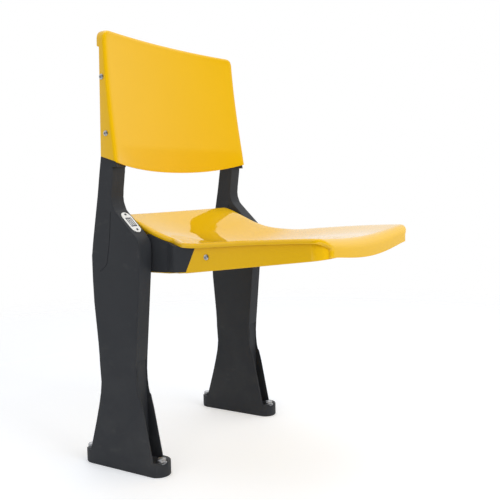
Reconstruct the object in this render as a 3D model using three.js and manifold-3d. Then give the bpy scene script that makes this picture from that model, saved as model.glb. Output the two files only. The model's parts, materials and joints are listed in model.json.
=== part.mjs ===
// A tip-up stadium seat on two moulded legs, in millimetres, with +Z up and the sitter facing -Y
import * as THREE from 'three';
import { mergeVertices } from 'three/addons/utils/BufferGeometryUtils.js';
import Module from 'manifold-3d';

const wasm = await Module();
wasm.setup();

// Clearance between pieces that touch, and the overrun of cuts
const seatGap = 0.3;
const overrun = 2;

// Legs: the clear width between them, their section and their heights
const clearWidth = 357.2;
const legWidth = 35.5;
const legInner = clearWidth / 2;
const legOuter = legInner + legWidth;
const legWall = 4;
const legEdgeRadius = 2.5;
const footLedge = 10;
const footLength = 194;
const footHeight = 27;
const footEdgeRadius = 1.5;
const shoulderHeight = 587;
const legDepth = 65.6;
const webFrontY = -45;
const webRearY = 38;
const facetLowY = -56;
const facetHighY = -10.6;
const facetLowShare = 0.7545;
const facetLowHeight = shoulderHeight * facetLowShare;
const facetHighShare = 0.8307;
const facetHighHeight = shoulderHeight * facetHighShare;
const creaseWidth = 1.6;
const creaseDepth = 0.7;
const tongueRise = 165;
const tongueTop = shoulderHeight + tongueRise;
const tongueRearY = 16;
const hollowTopShare = 0.9285;
const hollowTop = shoulderHeight * hollowTopShare;

// Backrest: its heights over the floor, its widths and the depth of its rims
const backTopRise = 225;
const backTop = shoulderHeight + backTopRise;
const backDrop = 33;
const backLowest = shoulderHeight - backDrop;
const backCreaseRise = 17;
const backCreaseHeight = shoulderHeight + backCreaseRise;
const backTopInset = 4.1;
const backHalfTop = legOuter - backTopInset;
const backCreaseOverlap = 2.7;
const backHalfCrease = legOuter + backCreaseOverlap;
const backTopY = 1;
const backCreaseY = -19.2;
const backWall = 3.5;
const backCornerRadius = 5;
const backTopRadius = 6;
const backTopCorner = 16;
const backHollow = 15.5;
const backTurn = 8;
const backSideRise = 25;
const backRearLean = 0.3;
const flangeRearY = 13.5;
const lipRearY = 18.5;
const lipDepth = 29;
const lipBottom = backTop - lipDepth;

// Seat: the pivot, the rim's places and heights, and the shells' walls
const pivotY = -15.5;
const pivotShare = 0.69506;
const pivotHeight = shoulderHeight * pivotShare;
const rimRearY = 6;
const rimRearRise = 70;
const rimRearHeight = pivotHeight + rimRearRise;
const rimLowY = -157;
const rimLowRise = 22;
const rimLowHeight = pivotHeight + rimLowRise;
const rimFrontRise = 13;
const rimFrontHeight = rimLowHeight + rimFrontRise;
const panFrontY = -422;
const frontRollRadius = 18;
const rearRollRadius = 4.5;
const bandHeight = 32;
const bandBottom = rimFrontHeight - bandHeight;
const rimOverlap = 16.4;
const rimHalfFront = legInner + rimOverlap;
const rimClearance = 4.6;
const rimHalfRear = legInner - rimClearance;
const wideStartY = -104;
const wideEndY = -154;
const rimRadius = 5;
const lipHeight = 8;
const panWall = 3.5;
const panCornerRadius = 10;
const panFrontCorner = 24;
const bowlDepth = 20;
const bowlEaseShare = 1.4;
const bandDip = 11.5;

// Under shell: the flange, the underside and the long recess in it
const flangeInset = 5.5;
const underWall = 3;
const bandOverhang = 1.3;
const underFrontHeight = bandBottom - bandOverhang;
const underKneeY = -141;
const underKneeDrop = 32.4;
const underKneeHeight = pivotHeight - underKneeDrop;
const underRearDrop = 36.5;
const underRearHeight = pivotHeight - underRearDrop;
const underLevelY = -96;
const underRollRadius = 18;
const underRearY = -4;
const recessHalfWidth = 93;
const recessFrontY = -408;
const recessRearY = -106;
const recessRamp = 18;
const recessFrontDepth = 10.5;
const recessRearDepth = 15;

// Pivot arms: the hub, the plate and the joint line with the flange
const tipAngle = THREE.MathUtils.degToRad(81);
const hubRadius = 32;
const armThickness = 7.8;
const armStepStartY = -96;
const armStepEndY = -126;
const armNeckY = -60;
const armNeckRise = 13;
const armNeckHeight = rimLowHeight + armNeckRise;
const armBottomRise = 2.8;
const cutLowY = -147;
const cutHighY = -169;
const cutHighDrop = 9;
const cutHighHeight = rimLowHeight - cutHighDrop;
const armTongueLength = 62;
const armTongueHeight = 22;

// Pins, bushes, springs and stops
const pinRadius = 5.5;
const pinHeadRadius = 8;
const pinHeadHeight = 3;
const bushWall = 2;
const bushFlangeRadius = 11;
const bossWall = 3;
const bossLength = 8;
const springWire = 3;
const springTurns = 5;
const springPitch = 3.6;
const springRadius = 16;
const springTang = 9;
const springPegRadius = 2.5;
const ringRadius = 10;
const ringThickness = 2.5;
const stopRadius = 20;
const stopPegRadius = 3;
const stopSleeveWall = 1.6;
const stopAngle = THREE.MathUtils.degToRad(235);

// Fasteners and plates
const screwRadius = 2.5;
const screwHeadRadius = 5;
const screwHeadHeight = 2.4;
const screwSocketWidth = 4;
const screwSocketDepth = 1.4;
const nutWidth = 8;
const nutThickness = 4;
const nutDepth = 9;
const screwUpperY = 8.4;
const screwUpperDrop = 84.3;
const screwUpperHeight = backTop - screwUpperDrop;
const screwLowerY = 0;
const screwLowerRise = 22.7;
const screwLowerHeight = backCreaseHeight + screwLowerRise;
const seatScrewY = -193.7;
const seatScrewDrop = 1.3;
const seatScrewHeight = pivotHeight - seatScrewDrop;
const anchorReach = 86;
const anchorRadius = 4.5;
const anchorHeadWidth = 15;
const anchorHeadHeight = 6.5;
const washerRadius = 9.5;
const washerThickness = 2;
const lugCupRadius = 10.4;
const lugCupDepth = 3;
const idPlateLength = 50;
const idPlateWidth = 24;
const idPlateThickness = 1.2;
const rivetRadius = 2.2;
const rivetHeight = 1;
const idRivetSpacing = 38;
const numberPlateWidth = 64;
const numberPlateLength = 44;
const numberPlateThickness = 1.6;
const numberPlateCorner = 15;
const numberPlateInset = 25;
const plateScrewSpacing = 49;

// Facet counts
const roundSides = 16;
const smallRoundSides = 10;
const hexSides = 6;
const splineSteps = 2;
const arcSteps = 6;
const cornerSteps = 3;
const rimSteps = 18;
const bowlSteps = 12;
const springSteps = 8;
const springSides = 5;

// Places that follow from the sizes above
const legMiddle = legInner + legWidth / 2;
const legHollowInner = legInner + legWall;
const legHollowOuter = legOuter - legWall;
const flangeHalf = rimHalfFront - flangeInset;
const hubInner = rimHalfRear - flangeInset + seatGap;
const hubOuter = hubInner + armThickness;
const holeRadius = screwRadius + seatGap;

// Colours and finishes
function finish(color, roughness, metalness) {
  return new THREE.MeshStandardMaterial({ color, roughness, metalness });
}
const yellowGloss = finish(0xf3bd30, 0.25, 0);
const blackMoulding = finish(0x3a3c3e, 0.6, 0);
const zincSteel = finish(0xb9bcc0, 0.4, 1);
const springSteel = finish(0x77797c, 0.45, 1);
const paleNylon = finish(0xd8d4c4, 0.5, 0);
const blackRubber = finish(0x1d1e20, 0.85, 0);
const whitePlate = finish(0xe9e9e6, 0.45, 0);
const darkPlate = finish(0x2c3440, 0.4, 0);

// Changes between three.js geometries and the solids that are joined and cut
function solidOf(geometry) {
  const bare = geometry.clone();
  bare.deleteAttribute('normal');
  bare.deleteAttribute('uv');
  const merged = mergeVertices(bare);
  return new wasm.Manifold(new wasm.Mesh({
    numProp: 3,
    vertProperties: new Float32Array(merged.attributes.position.array),
    triVerts: new Uint32Array(merged.index.array),
  }));
}

function geometryOf(solid) {
  const mesh = solid.getMesh();
  const geometry = new THREE.BufferGeometry();
  geometry.setAttribute('position', new THREE.BufferAttribute(mesh.vertProperties, 3));
  geometry.setIndex(new THREE.BufferAttribute(mesh.triVerts, 1));
  geometry.computeVertexNormals();
  return geometry;
}

// A solid from points and triangles, turned so that its faces point out
function solidFrom(points, faces) {
  const corner = (index) => points[faces[index]];
  let volume = 0;
  for (let index = 0; index < faces.length; index += 3) {
    volume += corner(index).dot(corner(index + 1).clone().cross(corner(index + 2)));
  }
  return new wasm.Manifold(new wasm.Mesh({
    numProp: 3,
    vertProperties: new Float32Array(points.flatMap((point) => point.toArray())),
    triVerts: new Uint32Array(volume < 0 ? faces.reverse() : faces),
  }));
}

// Extrusions: a side outline holds (y, z) points, a plan outline (x, y) points
const sideBasis = new THREE.Matrix4().makeBasis(
  new THREE.Vector3(0, 1, 0), new THREE.Vector3(0, 0, 1), new THREE.Vector3(1, 0, 0));

function extruded(shape, low, high, edgeRadius, steps) {
  return new THREE.ExtrudeGeometry(shape, {
    depth: high - low - edgeRadius - edgeRadius,
    bevelEnabled: edgeRadius > 0,
    bevelThickness: edgeRadius,
    bevelSize: edgeRadius,
    bevelOffset: -edgeRadius,
    bevelSegments: 2,
    curveSegments: steps,
  }).translate(0, 0, low + edgeRadius);
}

function extrudeSide(shape, lowX, highX, edgeRadius = 0, steps = splineSteps) {
  return solidOf(extruded(shape, lowX, highX, edgeRadius, steps).applyMatrix4(sideBasis));
}

function extrudePlan(shape, lowZ, highZ, edgeRadius = 0, steps = arcSteps) {
  return solidOf(extruded(shape, lowZ, highZ, edgeRadius, steps));
}

function point2(a, b) {
  return new THREE.Vector2(a, b);
}

// A rod with its axis along X, from one X to another
function rodX(radius, lowX, highX, y, z, sides = roundSides) {
  const geometry = new THREE.CylinderGeometry(radius, radius, highX - lowX, sides);
  geometry.rotateZ(Math.PI / 2);
  return solidOf(geometry.translate((lowX + highX) / 2, y, z));
}

// A rod that stands upright
function rodZ(radius, lowZ, highZ, x, y, sides = roundSides) {
  const geometry = new THREE.CylinderGeometry(radius, radius, highZ - lowZ, sides);
  geometry.rotateX(Math.PI / 2);
  return solidOf(geometry.translate(x, y, (lowZ + highZ) / 2));
}

function onSide(solid, side) {
  return side < 0 ? solid.mirror([1, 0, 0]) : solid;
}

// The same grid of points moved square to its own surface
function offsetGrid(grid, distance) {
  const last = grid.length - 1;
  return grid.map((row, r) => row.map((point, c) => {
    const end = row.length - 1;
    const along = row[Math.min(c + 1, end)].clone().sub(row[Math.max(c - 1, 0)]);
    const across = grid[Math.min(r + 1, last)][c].clone().sub(grid[Math.max(r - 1, 0)][c]);
    return point.clone().addScaledVector(along.cross(across).normalize(), distance);
  }));
}

// A closed body between two grids of points with the same rows and columns
function bodyBetween(outer, inner) {
  const rows = outer.length;
  const columns = outer[0].length;
  const count = rows * columns;
  const faces = [];
  const quad = (a, b, c, d) => faces.push(a, b, c, a, c, d);
  const at = (row, column) => row * columns + column;
  for (let row = 0; row < rows - 1; row += 1) {
    for (let column = 0; column < columns - 1; column += 1) {
      const ring = [at(row, column), at(row, column + 1), at(row + 1, column + 1), at(row + 1, column)];
      quad(...ring);
      quad(...ring.reverse().map((corner) => corner + count));
    }
  }
  const closeEdge = (edge) => edge.slice(1).forEach((next, step) => {
    quad(edge[step], edge[step] + count, next + count, next);
  });
  const rowEdge = (row) => Array.from({ length: columns }, (_, column) => at(row, column));
  const columnEdge = (column) => Array.from({ length: rows }, (_, row) => at(row, column));
  closeEdge(rowEdge(0));
  closeEdge(rowEdge(rows - 1).reverse());
  closeEdge(columnEdge(0).reverse());
  closeEdge(columnEdge(columns - 1));
  return solidFrom([...outer.flat(), ...inner.flat()], faces);
}

// A closed body through loops of points, level with each other, with flat ends
function loftBody(loops) {
  const count = loops[0].length;
  const faces = [];
  for (let row = 0; row < loops.length - 1; row += 1) {
    for (let index = 0; index < count; index += 1) {
      const a = row * count + index;
      const b = row * count + (index + 1) % count;
      faces.push(a, b, b + count, a, b + count, a + count);
    }
  }
  const last = (loops.length - 1) * count;
  const flat = (loop) => loop.map((point) => point2(point.x, point.y));
  THREE.ShapeUtils.triangulateShape(flat(loops[0]), []).forEach(([a, b, c]) => {
    faces.push(a, c, b);
  });
  THREE.ShapeUtils.triangulateShape(flat(loops[loops.length - 1]), []).forEach(([a, b, c]) => {
    faces.push(last + a, last + b, last + c);
  });
  return solidFrom(loops.flat(), faces);
}

// The backrest's section at a height: half width, front line and rear line
function backHalf(z) {
  const slope = (backHalfCrease - backHalfTop) / (backTop - backCreaseHeight);
  const cornerLow = backTop - backTopCorner;
  const rise = THREE.MathUtils.clamp((z - cornerLow) / backTopCorner, 0, 1);
  const drawnIn = backTopCorner * (1 - Math.sqrt(1 - rise * rise));
  return backHalfTop + slope * (backTop - z) - drawnIn;
}

function backRimInset(z) {
  const rise = THREE.MathUtils.clamp((z - (backTop - backTopRadius)) / backTopRadius, 0, 1);
  return backTopRadius * (1 - Math.sqrt(1 - rise * rise));
}

function backHollowAt(xShare, z) {
  const below = Math.max(backCreaseHeight - z, 0) / (backCreaseHeight - backLowest);
  return backHollow * (1 - xShare * xShare) + backTurn * below * (1 - xShare ** 8);
}

function backFrontY(xShare, z) {
  const share = (backTop - z) / (backTop - backCreaseHeight);
  const bendShare = 1.5;
  const lean = Math.sign(share) * Math.abs(share) ** bendShare;
  return backTopY + (backCreaseY - backTopY) * lean + backHollowAt(xShare, z) + backRimInset(z);
}

// One closed section of the backrest, drawn in by a wall, with its own rear line
function backLoop(z, inset, rearY) {
  const half = backHalf(z) - inset;
  const radius = Math.max(backCornerRadius - inset, inset / 2);
  const shareOfHalf = (half - radius) / backHalf(z);
  const cornerY = backFrontY(shareOfHalf, z) + inset;
  const corner = (sign, step) => {
    const angle = (step / cornerSteps) * Math.PI / 2;
    const x = half - radius + radius * Math.cos(angle);
    return new THREE.Vector3(sign * x, cornerY + radius - radius * Math.sin(angle), z);
  };
  const steps = Array.from({ length: cornerSteps + 1 }, (_, step) => step);
  const across = Array.from({ length: bowlSteps - 1 }, (_, step) => 2 * (step + 1) / bowlSteps - 1);
  const front = across.map((share) => new THREE.Vector3(
    share * (half - radius), backFrontY(share * shareOfHalf, z) + inset, z));
  const rear = [-1, ...across, 1].reverse().map((share) => new THREE.Vector3(
    share * half, rearY + backHollowAt(share, z), z));
  return [...steps.map((step) => corner(-1, step)), ...front,
    ...steps.map((step) => corner(1, step)).reverse(), ...rear];
}

// The space within the backrest shell, drawn in by a wall
function backSpace(inset, lowZ, rearExtra) {
  const middle = lipBottom - overrun;
  const loops = [lowZ, backCreaseHeight].map((z) => backLoop(z, inset, flangeRearY + rearExtra));
  const heightShares = [0.25, 0.5, 0.75, 1];
  heightShares.forEach((share) => {
    const z = backCreaseHeight + (middle - backCreaseHeight) * share;
    loops.push(backLoop(z, inset, flangeRearY + rearExtra));
  });
  const rearY = lipRearY - inset;
  loops.push(backLoop(lipBottom, inset, rearExtra > 0 ? rearY : lipRearY));
  const topLow = backTop - backTopCorner;
  const flatShare = inset > 0 ? 0.8 : 0.99;
  const roundShares = [0, 0.45, 0.75, 0.93].filter((share) => share < flatShare);
  roundShares.forEach((share) => {
    const z = topLow + (backTop - topLow) * share - inset;
    loops.push(backLoop(z, inset, rearY - backRimInset(z)));
  });
  const top = backTop - inset;
  const nearTop = topLow + (backTop - topLow) * flatShare - inset;
  const loop = backLoop(nearTop, inset, rearY - backRimInset(nearTop));
  loops.push(loop.map((point) => point.clone().setZ(top)));
  return loftBody(loops);
}

// The region under the backrest's bowed lower edge
function belowBack() {
  const shape = new THREE.Shape();
  const reach = backHalfCrease + backSideRise;
  const bowShare = 0.78;
  shape.moveTo(-reach, backLowest - backCreaseHeight);
  for (let step = 0; step <= rimSteps; step += 1) {
    const x = reach * (2 * step / rimSteps - 1);
    const share = x / backHalfCrease;
    const rise = bowShare * share ** 2 + (1 - bowShare) * share ** 4;
    shape.lineTo(x, backLowest + backSideRise * rise);
  }
  shape.lineTo(reach, backLowest - backCreaseHeight);
  const cornersShare = 4;
  const depth = lipRearY - backCreaseY + backCornerRadius * cornersShare;
  const geometry = new THREE.ExtrudeGeometry(shape, { depth, bevelEnabled: false });
  geometry.rotateX(Math.PI / 2).translate(0, lipRearY + overrun, 0);
  const shear = new THREE.Matrix4().makeShear(0, 0, 0, backRearLean, 0, 0);
  return solidOf(geometry.translate(0, -backCreaseY / 2, 0).applyMatrix4(shear)
    .translate(0, backCreaseY / 2, 0));
}

// A button-head screw and its hole, along X from the outer face inwards
function screwX(outerX, innerX, y, z) {
  const headBottom = outerX + seatGap;
  const head = rodX(screwHeadRadius, headBottom, headBottom + screwHeadHeight, y, z, smallRoundSides);
  const crown = headBottom + screwHeadHeight - screwSocketDepth;
  const socket = rodX(screwSocketWidth / 2, crown, headBottom + screwHeadHeight + overrun, y, z, hexSides);
  return head.add(rodX(screwRadius, innerX, headBottom + seatGap, y, z, smallRoundSides)).subtract(socket);
}

function nutX(innerX, outerX, y, z) {
  const hex = rodX(nutWidth / Math.sqrt(3), innerX, outerX, y, z, hexSides);
  return hex.subtract(rodX(holeRadius, innerX - overrun, outerX + overrun, y, z, smallRoundSides));
}

// Backrest shell, with holes for its four screws
function screwPlaces() {
  return [[screwUpperY, screwUpperHeight], [screwLowerY, screwLowerHeight]];
}

function backrestShell() {
  let shell = backSpace(0, backLowest - overrun, 0);
  shell = shell.subtract(backSpace(backWall, backLowest - overrun - overrun, overrun));
  shell = shell.subtract(belowBack());
  screwPlaces().forEach(([y, z]) => {
    const hole = rodX(holeRadius, backHalf(z) - backWall * 2, backHalf(z) + overrun, y, z, smallRoundSides);
    shell = shell.subtract(hole).subtract(onSide(hole, -1));
  });
  return shell;
}

// Leg outlines: shares of the depth from the pivot line to the hip, and of the shoulder's height
const rearLegShares = [
  [1.22, 0], [1.14, 0.046], [0.82, 0.168], [0.625, 0.264], [0.64, 0.33], [0.66, 0.4],
  [0.76, 0.545], [0.775, 0.667], [0.745, 0.706], [0.645, 0.77], [0.483, 0.863], [0.367, 0.942], [0.275, 1],
];
const frontLegShares = [
  [-0.155, 0.986], [-0.157, 0.955], [-0.1, 0.91], [-0.06, 0.864],
];
const hipShares = [
  [-0.938, 0.742], [-0.995, 0.721], [-1, 0.681], [-0.931, 0.605], [-0.832, 0.495],
  [-0.755, 0.4], [-0.7, 0.321], [-0.75, 0.258], [-0.86, 0.228], [-1.19, 0.042], [-1.25, 0],
];

function legPoints(shares, scale = 1) {
  return shares.map(([depthShare, heightShare]) =>
    point2(depthShare * legDepth * scale, heightShare * shoulderHeight));
}

function legOutline() {
  const shape = new THREE.Shape();
  const rear = legPoints(rearLegShares);
  const front = legPoints(frontLegShares);
  const hip = legPoints(hipShares);
  shape.moveTo(rear[0].x, rear[0].y);
  shape.splineThru(rear.slice(1));
  shape.lineTo(front[0].x, front[0].y);
  shape.splineThru([...front.slice(1), point2(facetHighY, facetHighHeight)]);
  shape.lineTo(facetLowY, facetLowHeight);
  shape.splineThru(hip);
  shape.lineTo(rear[0].x, rear[0].y);
  return shape;
}

// The space inside a leg, open at the floor
function legHollow() {
  const rearShares = [[0.5, 0.1], [0.51, 0.28], [0.63, 0.5], [0.66, 0.66], [0.52, 0.77], [0.3, 0.9]];
  const frontShares = [
    [0.14, 0.9], [0.12, 0.84], [-0.76, 0.715], [-0.88, 0.68], [-0.68, 0.45], [-0.6, 0.3], [-0.6, 0.1],
  ];
  const shape = new THREE.Shape();
  const rear = legPoints(rearShares);
  const front = legPoints(frontShares);
  shape.moveTo(rear[0].x, -overrun);
  rear.forEach((point) => shape.lineTo(point.x, point.y));
  front.forEach((point) => shape.lineTo(point.x, point.y));
  shape.lineTo(front[front.length - 1].x, -overrun);
  return extrudeSide(shape, legHollowInner, legHollowOuter);
}

// The open channel at the front or rear of a leg, under its waist
function legChannel(webY) {
  const awayShare = 4;
  const away = webY * awayShare;
  const heightShare = 0.36;
  const shape = new THREE.Shape();
  shape.moveTo(webY, footHeight);
  shape.lineTo(webY, shoulderHeight * heightShare);
  shape.lineTo(away, shoulderHeight * heightShare);
  shape.lineTo(away, footHeight);
  return extrudeSide(shape, legHollowInner, legHollowOuter);
}

// The foot: an obround with a ledge on its +X side and a bored cup in each lug
function footSolid(lowX) {
  const radius = (legWidth + footLedge) / 2;
  const reach = footLength / 2 - radius;
  const middleX = lowX + radius;
  const shape = new THREE.Shape();
  shape.absarc(middleX, reach, radius, 0, Math.PI, false);
  shape.absarc(middleX, -reach, radius, Math.PI, Math.PI * 2, false);
  return extrudePlan(shape, 0, footHeight, footEdgeRadius);
}

function creaseSolid(lowX, highX) {
  const creaseShares = [
    [-0.015, 0.826], [0, 0.802], [0.06, 0.739], [0.137, 0.692], [0.183, 0.666], [0.305, 0.651], [0.457, 0.64],
  ];
  const line = new THREE.SplineCurve(legPoints(creaseShares)).getPoints(rimSteps);
  const half = creaseWidth / 2;
  const side = (sign) => line.map((point, index) => {
    const before = line[Math.max(index - 1, 0)];
    const after = line[Math.min(index + 1, line.length - 1)];
    const along = after.clone().sub(before).normalize();
    return point2(point.x - sign * half * along.y, point.y + sign * half * along.x);
  });
  return extrudeSide(new THREE.Shape([...side(1), ...side(-1).reverse()]), lowX, highX);
}

// The tongue that carries the backrest, kept inside the shell's own hollow
function tongueSolid() {
  const lean = (shoulderHeight - hollowTop) / 2;
  const shape = new THREE.Shape();
  const bottom = shoulderHeight - lean;
  shape.moveTo(tongueRearY, bottom);
  shape.lineTo(tongueRearY + seatGap, shoulderHeight);
  shape.lineTo(tongueRearY - backWall, tongueTop);
  shape.lineTo(backCreaseY, tongueTop);
  shape.lineTo(backCreaseY, bottom);
  const block = extrudeSide(shape, legInner, legOuter);
  const roof = backSpace(backWall + seatGap, backLowest - backSideRise, lipRearY);
  return block.intersect(roof);
}

function legSolid(side) {
  const place = (solid) => onSide(solid, side);
  const footLowX = side < 0 ? -legOuter : legInner;
  const middleX = side * legMiddle;
  let leg = place(extrudeSide(legOutline(), legInner, legOuter, legEdgeRadius));
  leg = leg.subtract(place(legChannel(webFrontY))).subtract(place(legChannel(webRearY)));
  leg = leg.add(footSolid(footLowX)).add(place(tongueSolid()));
  leg = leg.subtract(place(legHollow()));
  const bossOuter = legHollowInner + bossLength;
  const bossRadius = pinRadius + seatGap + bushWall + seatGap + bossWall;
  leg = leg.add(place(rodX(bossRadius, legHollowInner - overrun, bossOuter, pivotY, pivotHeight)));
  leg = leg.add(place(springPost()));
  const bore = pinRadius + seatGap + bushWall + seatGap;
  leg = leg.subtract(place(rodX(bore, legInner - overrun, bossOuter + overrun, pivotY, pivotHeight)));
  const stop = stopPlace();
  leg = leg.subtract(place(rodX(stopPegRadius + seatGap, legInner - overrun, legHollowInner + overrun,
    stop.x, stop.y, smallRoundSides)));
  leg = leg.subtract(place(creaseSolid(legOuter - creaseDepth, legOuter + overrun)));
  leg = leg.subtract(place(creaseSolid(legInner - overrun, legInner + creaseDepth)));
  screwPlaces().forEach(([y, z]) => {
    const hole = rodX(holeRadius, legInner - overrun, legOuter + overrun, y, z, smallRoundSides);
    leg = leg.subtract(place(hole));
    const pocket = nutWidth / Math.sqrt(3) + seatGap;
    leg = leg.subtract(place(rodX(pocket, legInner - overrun, legInner + nutDepth + nutThickness + seatGap,
      y, z, hexSides)));
  });
  [-anchorReach, anchorReach].forEach((y) => {
    leg = leg.subtract(rodZ(lugCupRadius, footHeight - lugCupDepth, footHeight + lugCupDepth, middleX, y));
    leg = leg.subtract(rodZ(anchorRadius + seatGap, -overrun, footHeight, middleX, y, smallRoundSides));
  });
  return leg;
}

// Rim of the seat seen from the side: shares of the run from the rear edge to its lowest place
// and on to the front roll, with shares of the fall and of the rise
function rimLine(extra = 0) {
  const rearShares = [
    [0, 1], [0.13, 0.84], [0.35, 0.52], [0.45, 0.375], [0.59, 0.22], [0.73, 0.11], [0.87, 0.03],
  ];
  const frontShares = [[0, 0], [0.09, 0.03], [0.28, 0.3], [0.555, 0.66], [0.87, 0.95], [1, 1]];
  const rollStartY = panFrontY + frontRollRadius;
  const rear = rearShares.map(([run, fall]) => point2(
    rimRearY - rearRollRadius + (rimLowY - rimRearY + rearRollRadius) * run,
    rimLowHeight + (rimRearHeight - rimLowHeight) * fall));
  const front = frontShares.map(([run, rise]) => point2(
    rimLowY + (rollStartY - rimLowY) * run,
    rimLowHeight + (rimFrontHeight - rimLowHeight) * rise));
  const line = new THREE.SplineCurve([...rear, ...front]).getSpacedPoints(rimSteps);
  const places = line.map((point, index) => {
    const before = line[Math.max(index - 1, 0)];
    const after = line[Math.min(index + 1, line.length - 1)];
    const along = after.clone().sub(before).normalize();
    const up = index === line.length - 1 ? point2(0, 1) : point2(-along.y, along.x).multiplyScalar(-1);
    return { point, up };
  });
  return [...rearRoll(places[0], extra), ...places, ...frontRoll(rollStartY, extra)];
}

function rearRoll(first, extra) {
  const start = Math.atan2(first.up.y, first.up.x);
  const centre = first.point.clone().addScaledVector(first.up, -rearRollRadius);
  const roll = [];
  for (let step = 0; step < cornerSteps; step += 1) {
    const angle = start * (step / cornerSteps);
    const up = point2(Math.cos(angle), Math.sin(angle));
    roll.push({ point: centre.clone().addScaledVector(up, rearRollRadius), up });
  }
  const bottom = centre.clone().add(point2(rearRollRadius, rearRollRadius - lipHeight - extra));
  return [{ point: bottom, up: point2(1, 0) }, ...roll];
}

function frontRoll(rollStartY, extra) {
  const centre = point2(rollStartY, rimFrontHeight - frontRollRadius);
  const roll = [];
  for (let step = 1; step <= arcSteps; step += 1) {
    const angle = Math.PI / 2 * (1 + step / arcSteps);
    const up = point2(Math.cos(angle), Math.sin(angle));
    roll.push({ point: centre.clone().addScaledVector(up, frontRollRadius), up });
  }
  roll.push({ point: point2(panFrontY, bandBottom - extra), up: point2(-1, 0) });
  return roll;
}

// Half width of the seat's rim at a place along it
function rimHalf(y) {
  const share = THREE.MathUtils.smoothstep(wideStartY - y, 0, wideStartY - wideEndY);
  const half = rimHalfRear + (rimHalfFront - rimHalfRear) * share;
  const rearReach = y - (rimRearY - panCornerRadius);
  const frontReach = panFrontY + panFrontCorner - y;
  const radius = rearReach > 0 ? panCornerRadius : panFrontCorner;
  const reach = THREE.MathUtils.clamp(Math.max(rearReach, frontReach) / radius, 0, 1);
  return half - radius * (1 - Math.sqrt(1 - reach * reach));
}

// Depth of the bowl along the seat, down to the dip of the front band
function bowlAt(place) {
  const depthShares = [[0, 0], [0.12, 0.55], [0.28, 0.95], [0.42, 1], [0.6, 0.9], [0.8, 0.62], [1, 0.42]];
  const run = (rimRearY - place.x) / (rimRearY - panFrontY - frontRollRadius);
  if (run >= 1) {
    const dropShare = (rimFrontHeight - place.y) / (rimFrontHeight - bandBottom);
    const bandShare = THREE.MathUtils.clamp(dropShare, 0, 1);
    return THREE.MathUtils.lerp(bowlDepth * depthShares[6][1], bandDip, bandShare);
  }
  const curve = new THREE.SplineCurve(depthShares.map(([runShare, share]) => point2(runShare, share)));
  const points = curve.getPoints(rimSteps * 2);
  const next = Math.max(points.findIndex((point) => point.x >= run), 1);
  const before = points[next - 1];
  const step = (run - before.x) / (points[next].x - before.x);
  return bowlDepth * Math.max(before.y + (points[next].y - before.y) * step, 0);
}

// Grid of points on the outside of the seat's top shell, with its edges drawn on by an extra
function panGrid(extra = 0) {
  return rimLine(extra).map(({ point, up }) => {
    const half = rimHalf(point.x);
    const flatHalf = half - rimRadius;
    const bowl = bowlAt(point);
    const row = [];
    const add = (x, rise, drop) => row.push(new THREE.Vector3(
      x, point.x + up.x * rise, point.y + up.y * rise - drop));
    const edge = (sign, step) => {
      const angle = (step / cornerSteps) * Math.PI / 2;
      add(sign * (flatHalf + rimRadius * Math.cos(angle)), rimRadius * (Math.sin(angle) - 1), 0);
    };
    add(-half, -lipHeight - extra, 0);
    for (let step = 0; step <= cornerSteps; step += 1) edge(-1, step);
    for (let step = 1; step < bowlSteps; step += 1) {
      const share = 2 * step / bowlSteps - 1;
      add(flatHalf * share, 0, bowl * (1 - share * share) ** bowlEaseShare);
    }
    for (let step = cornerSteps; step >= 0; step -= 1) edge(1, step);
    add(half, -lipHeight - extra, 0);
    return row;
  });
}

function seatTopShell() {
  const grid = panGrid();
  return bodyBetween(grid, offsetGrid(grid, panWall));
}

// Underside of the seat: its height at a place, and its line with the rolled rear
function underHeight(y) {
  if (y > underLevelY) return underRearHeight;
  if (y > underKneeY) {
    return THREE.MathUtils.mapLinear(y, underLevelY, underKneeY, underRearHeight, underKneeHeight);
  }
  return THREE.MathUtils.mapLinear(y, underKneeY, panFrontY, underKneeHeight, underFrontHeight);
}

function underOutline(wall) {
  const frontY = panFrontY + panWall + seatGap + wall;
  const points = [point2(frontY, underHeight(frontY) + wall)];
  [underKneeY, underLevelY].forEach((y) => points.push(point2(y, underHeight(y) + wall)));
  const centre = point2(underRearY - underRollRadius, underRearHeight + underRollRadius);
  for (let step = 0; step <= arcSteps; step += 1) {
    const angle = -Math.PI / 2 * (1 - step / arcSteps);
    const radius = underRollRadius - wall;
    points.push(point2(centre.x + radius * Math.cos(angle), centre.y + radius * Math.sin(angle)));
  }
  const inset = panWall + seatGap;
  const rim = rimLine().map(({ point, up }) => point.clone().addScaledVector(up, -inset));
  const raise = wall > 0 ? bandDip : 0;
  const rearLimit = rimRearY - inset - wall;
  const roof = rim.filter((point) => point.x > frontY + seatGap && point.x < rearLimit - seatGap)
    .map((point) => point2(point.x, point.y + raise));
  const rearTop = point2(rearLimit, rim[1].y + raise);
  const frontTop = point2(frontY, rimFrontHeight - frontRollRadius + raise);
  return new THREE.Shape([...points, rearTop, ...roof, frontTop]);
}

// Outer face of the pivot arms in plan, and of the shell that lies along them
function armOuterX(y) {
  const share = THREE.MathUtils.smoothstep(armStepStartY - y, 0, armStepStartY - armStepEndY);
  return hubOuter + (flangeHalf - hubOuter) * share;
}

function planPlaces() {
  const cornerShares = [0, 0.08, 0.3, 0.65, 1];
  const frontY = panFrontY + panWall + seatGap;
  const rearY = rimRearY - panWall - seatGap;
  const front = cornerShares.map((share) => frontY + panFrontCorner * share);
  const rear = cornerShares.map((share) => rearY - panCornerRadius * share).reverse();
  const middle = Array.from({ length: arcSteps + 1 }, (_, step) =>
    THREE.MathUtils.lerp(armStepEndY, armStepStartY, step / arcSteps));
  return [...front, ...middle, ...rear];
}

function planBand(innerAt, outerAt) {
  const places = planPlaces();
  const outer = places.map((y) => point2(outerAt(y), y));
  const inner = places.map((y) => point2(innerAt(y), y)).reverse();
  return new THREE.Shape([...outer, ...inner]);
}

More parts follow.
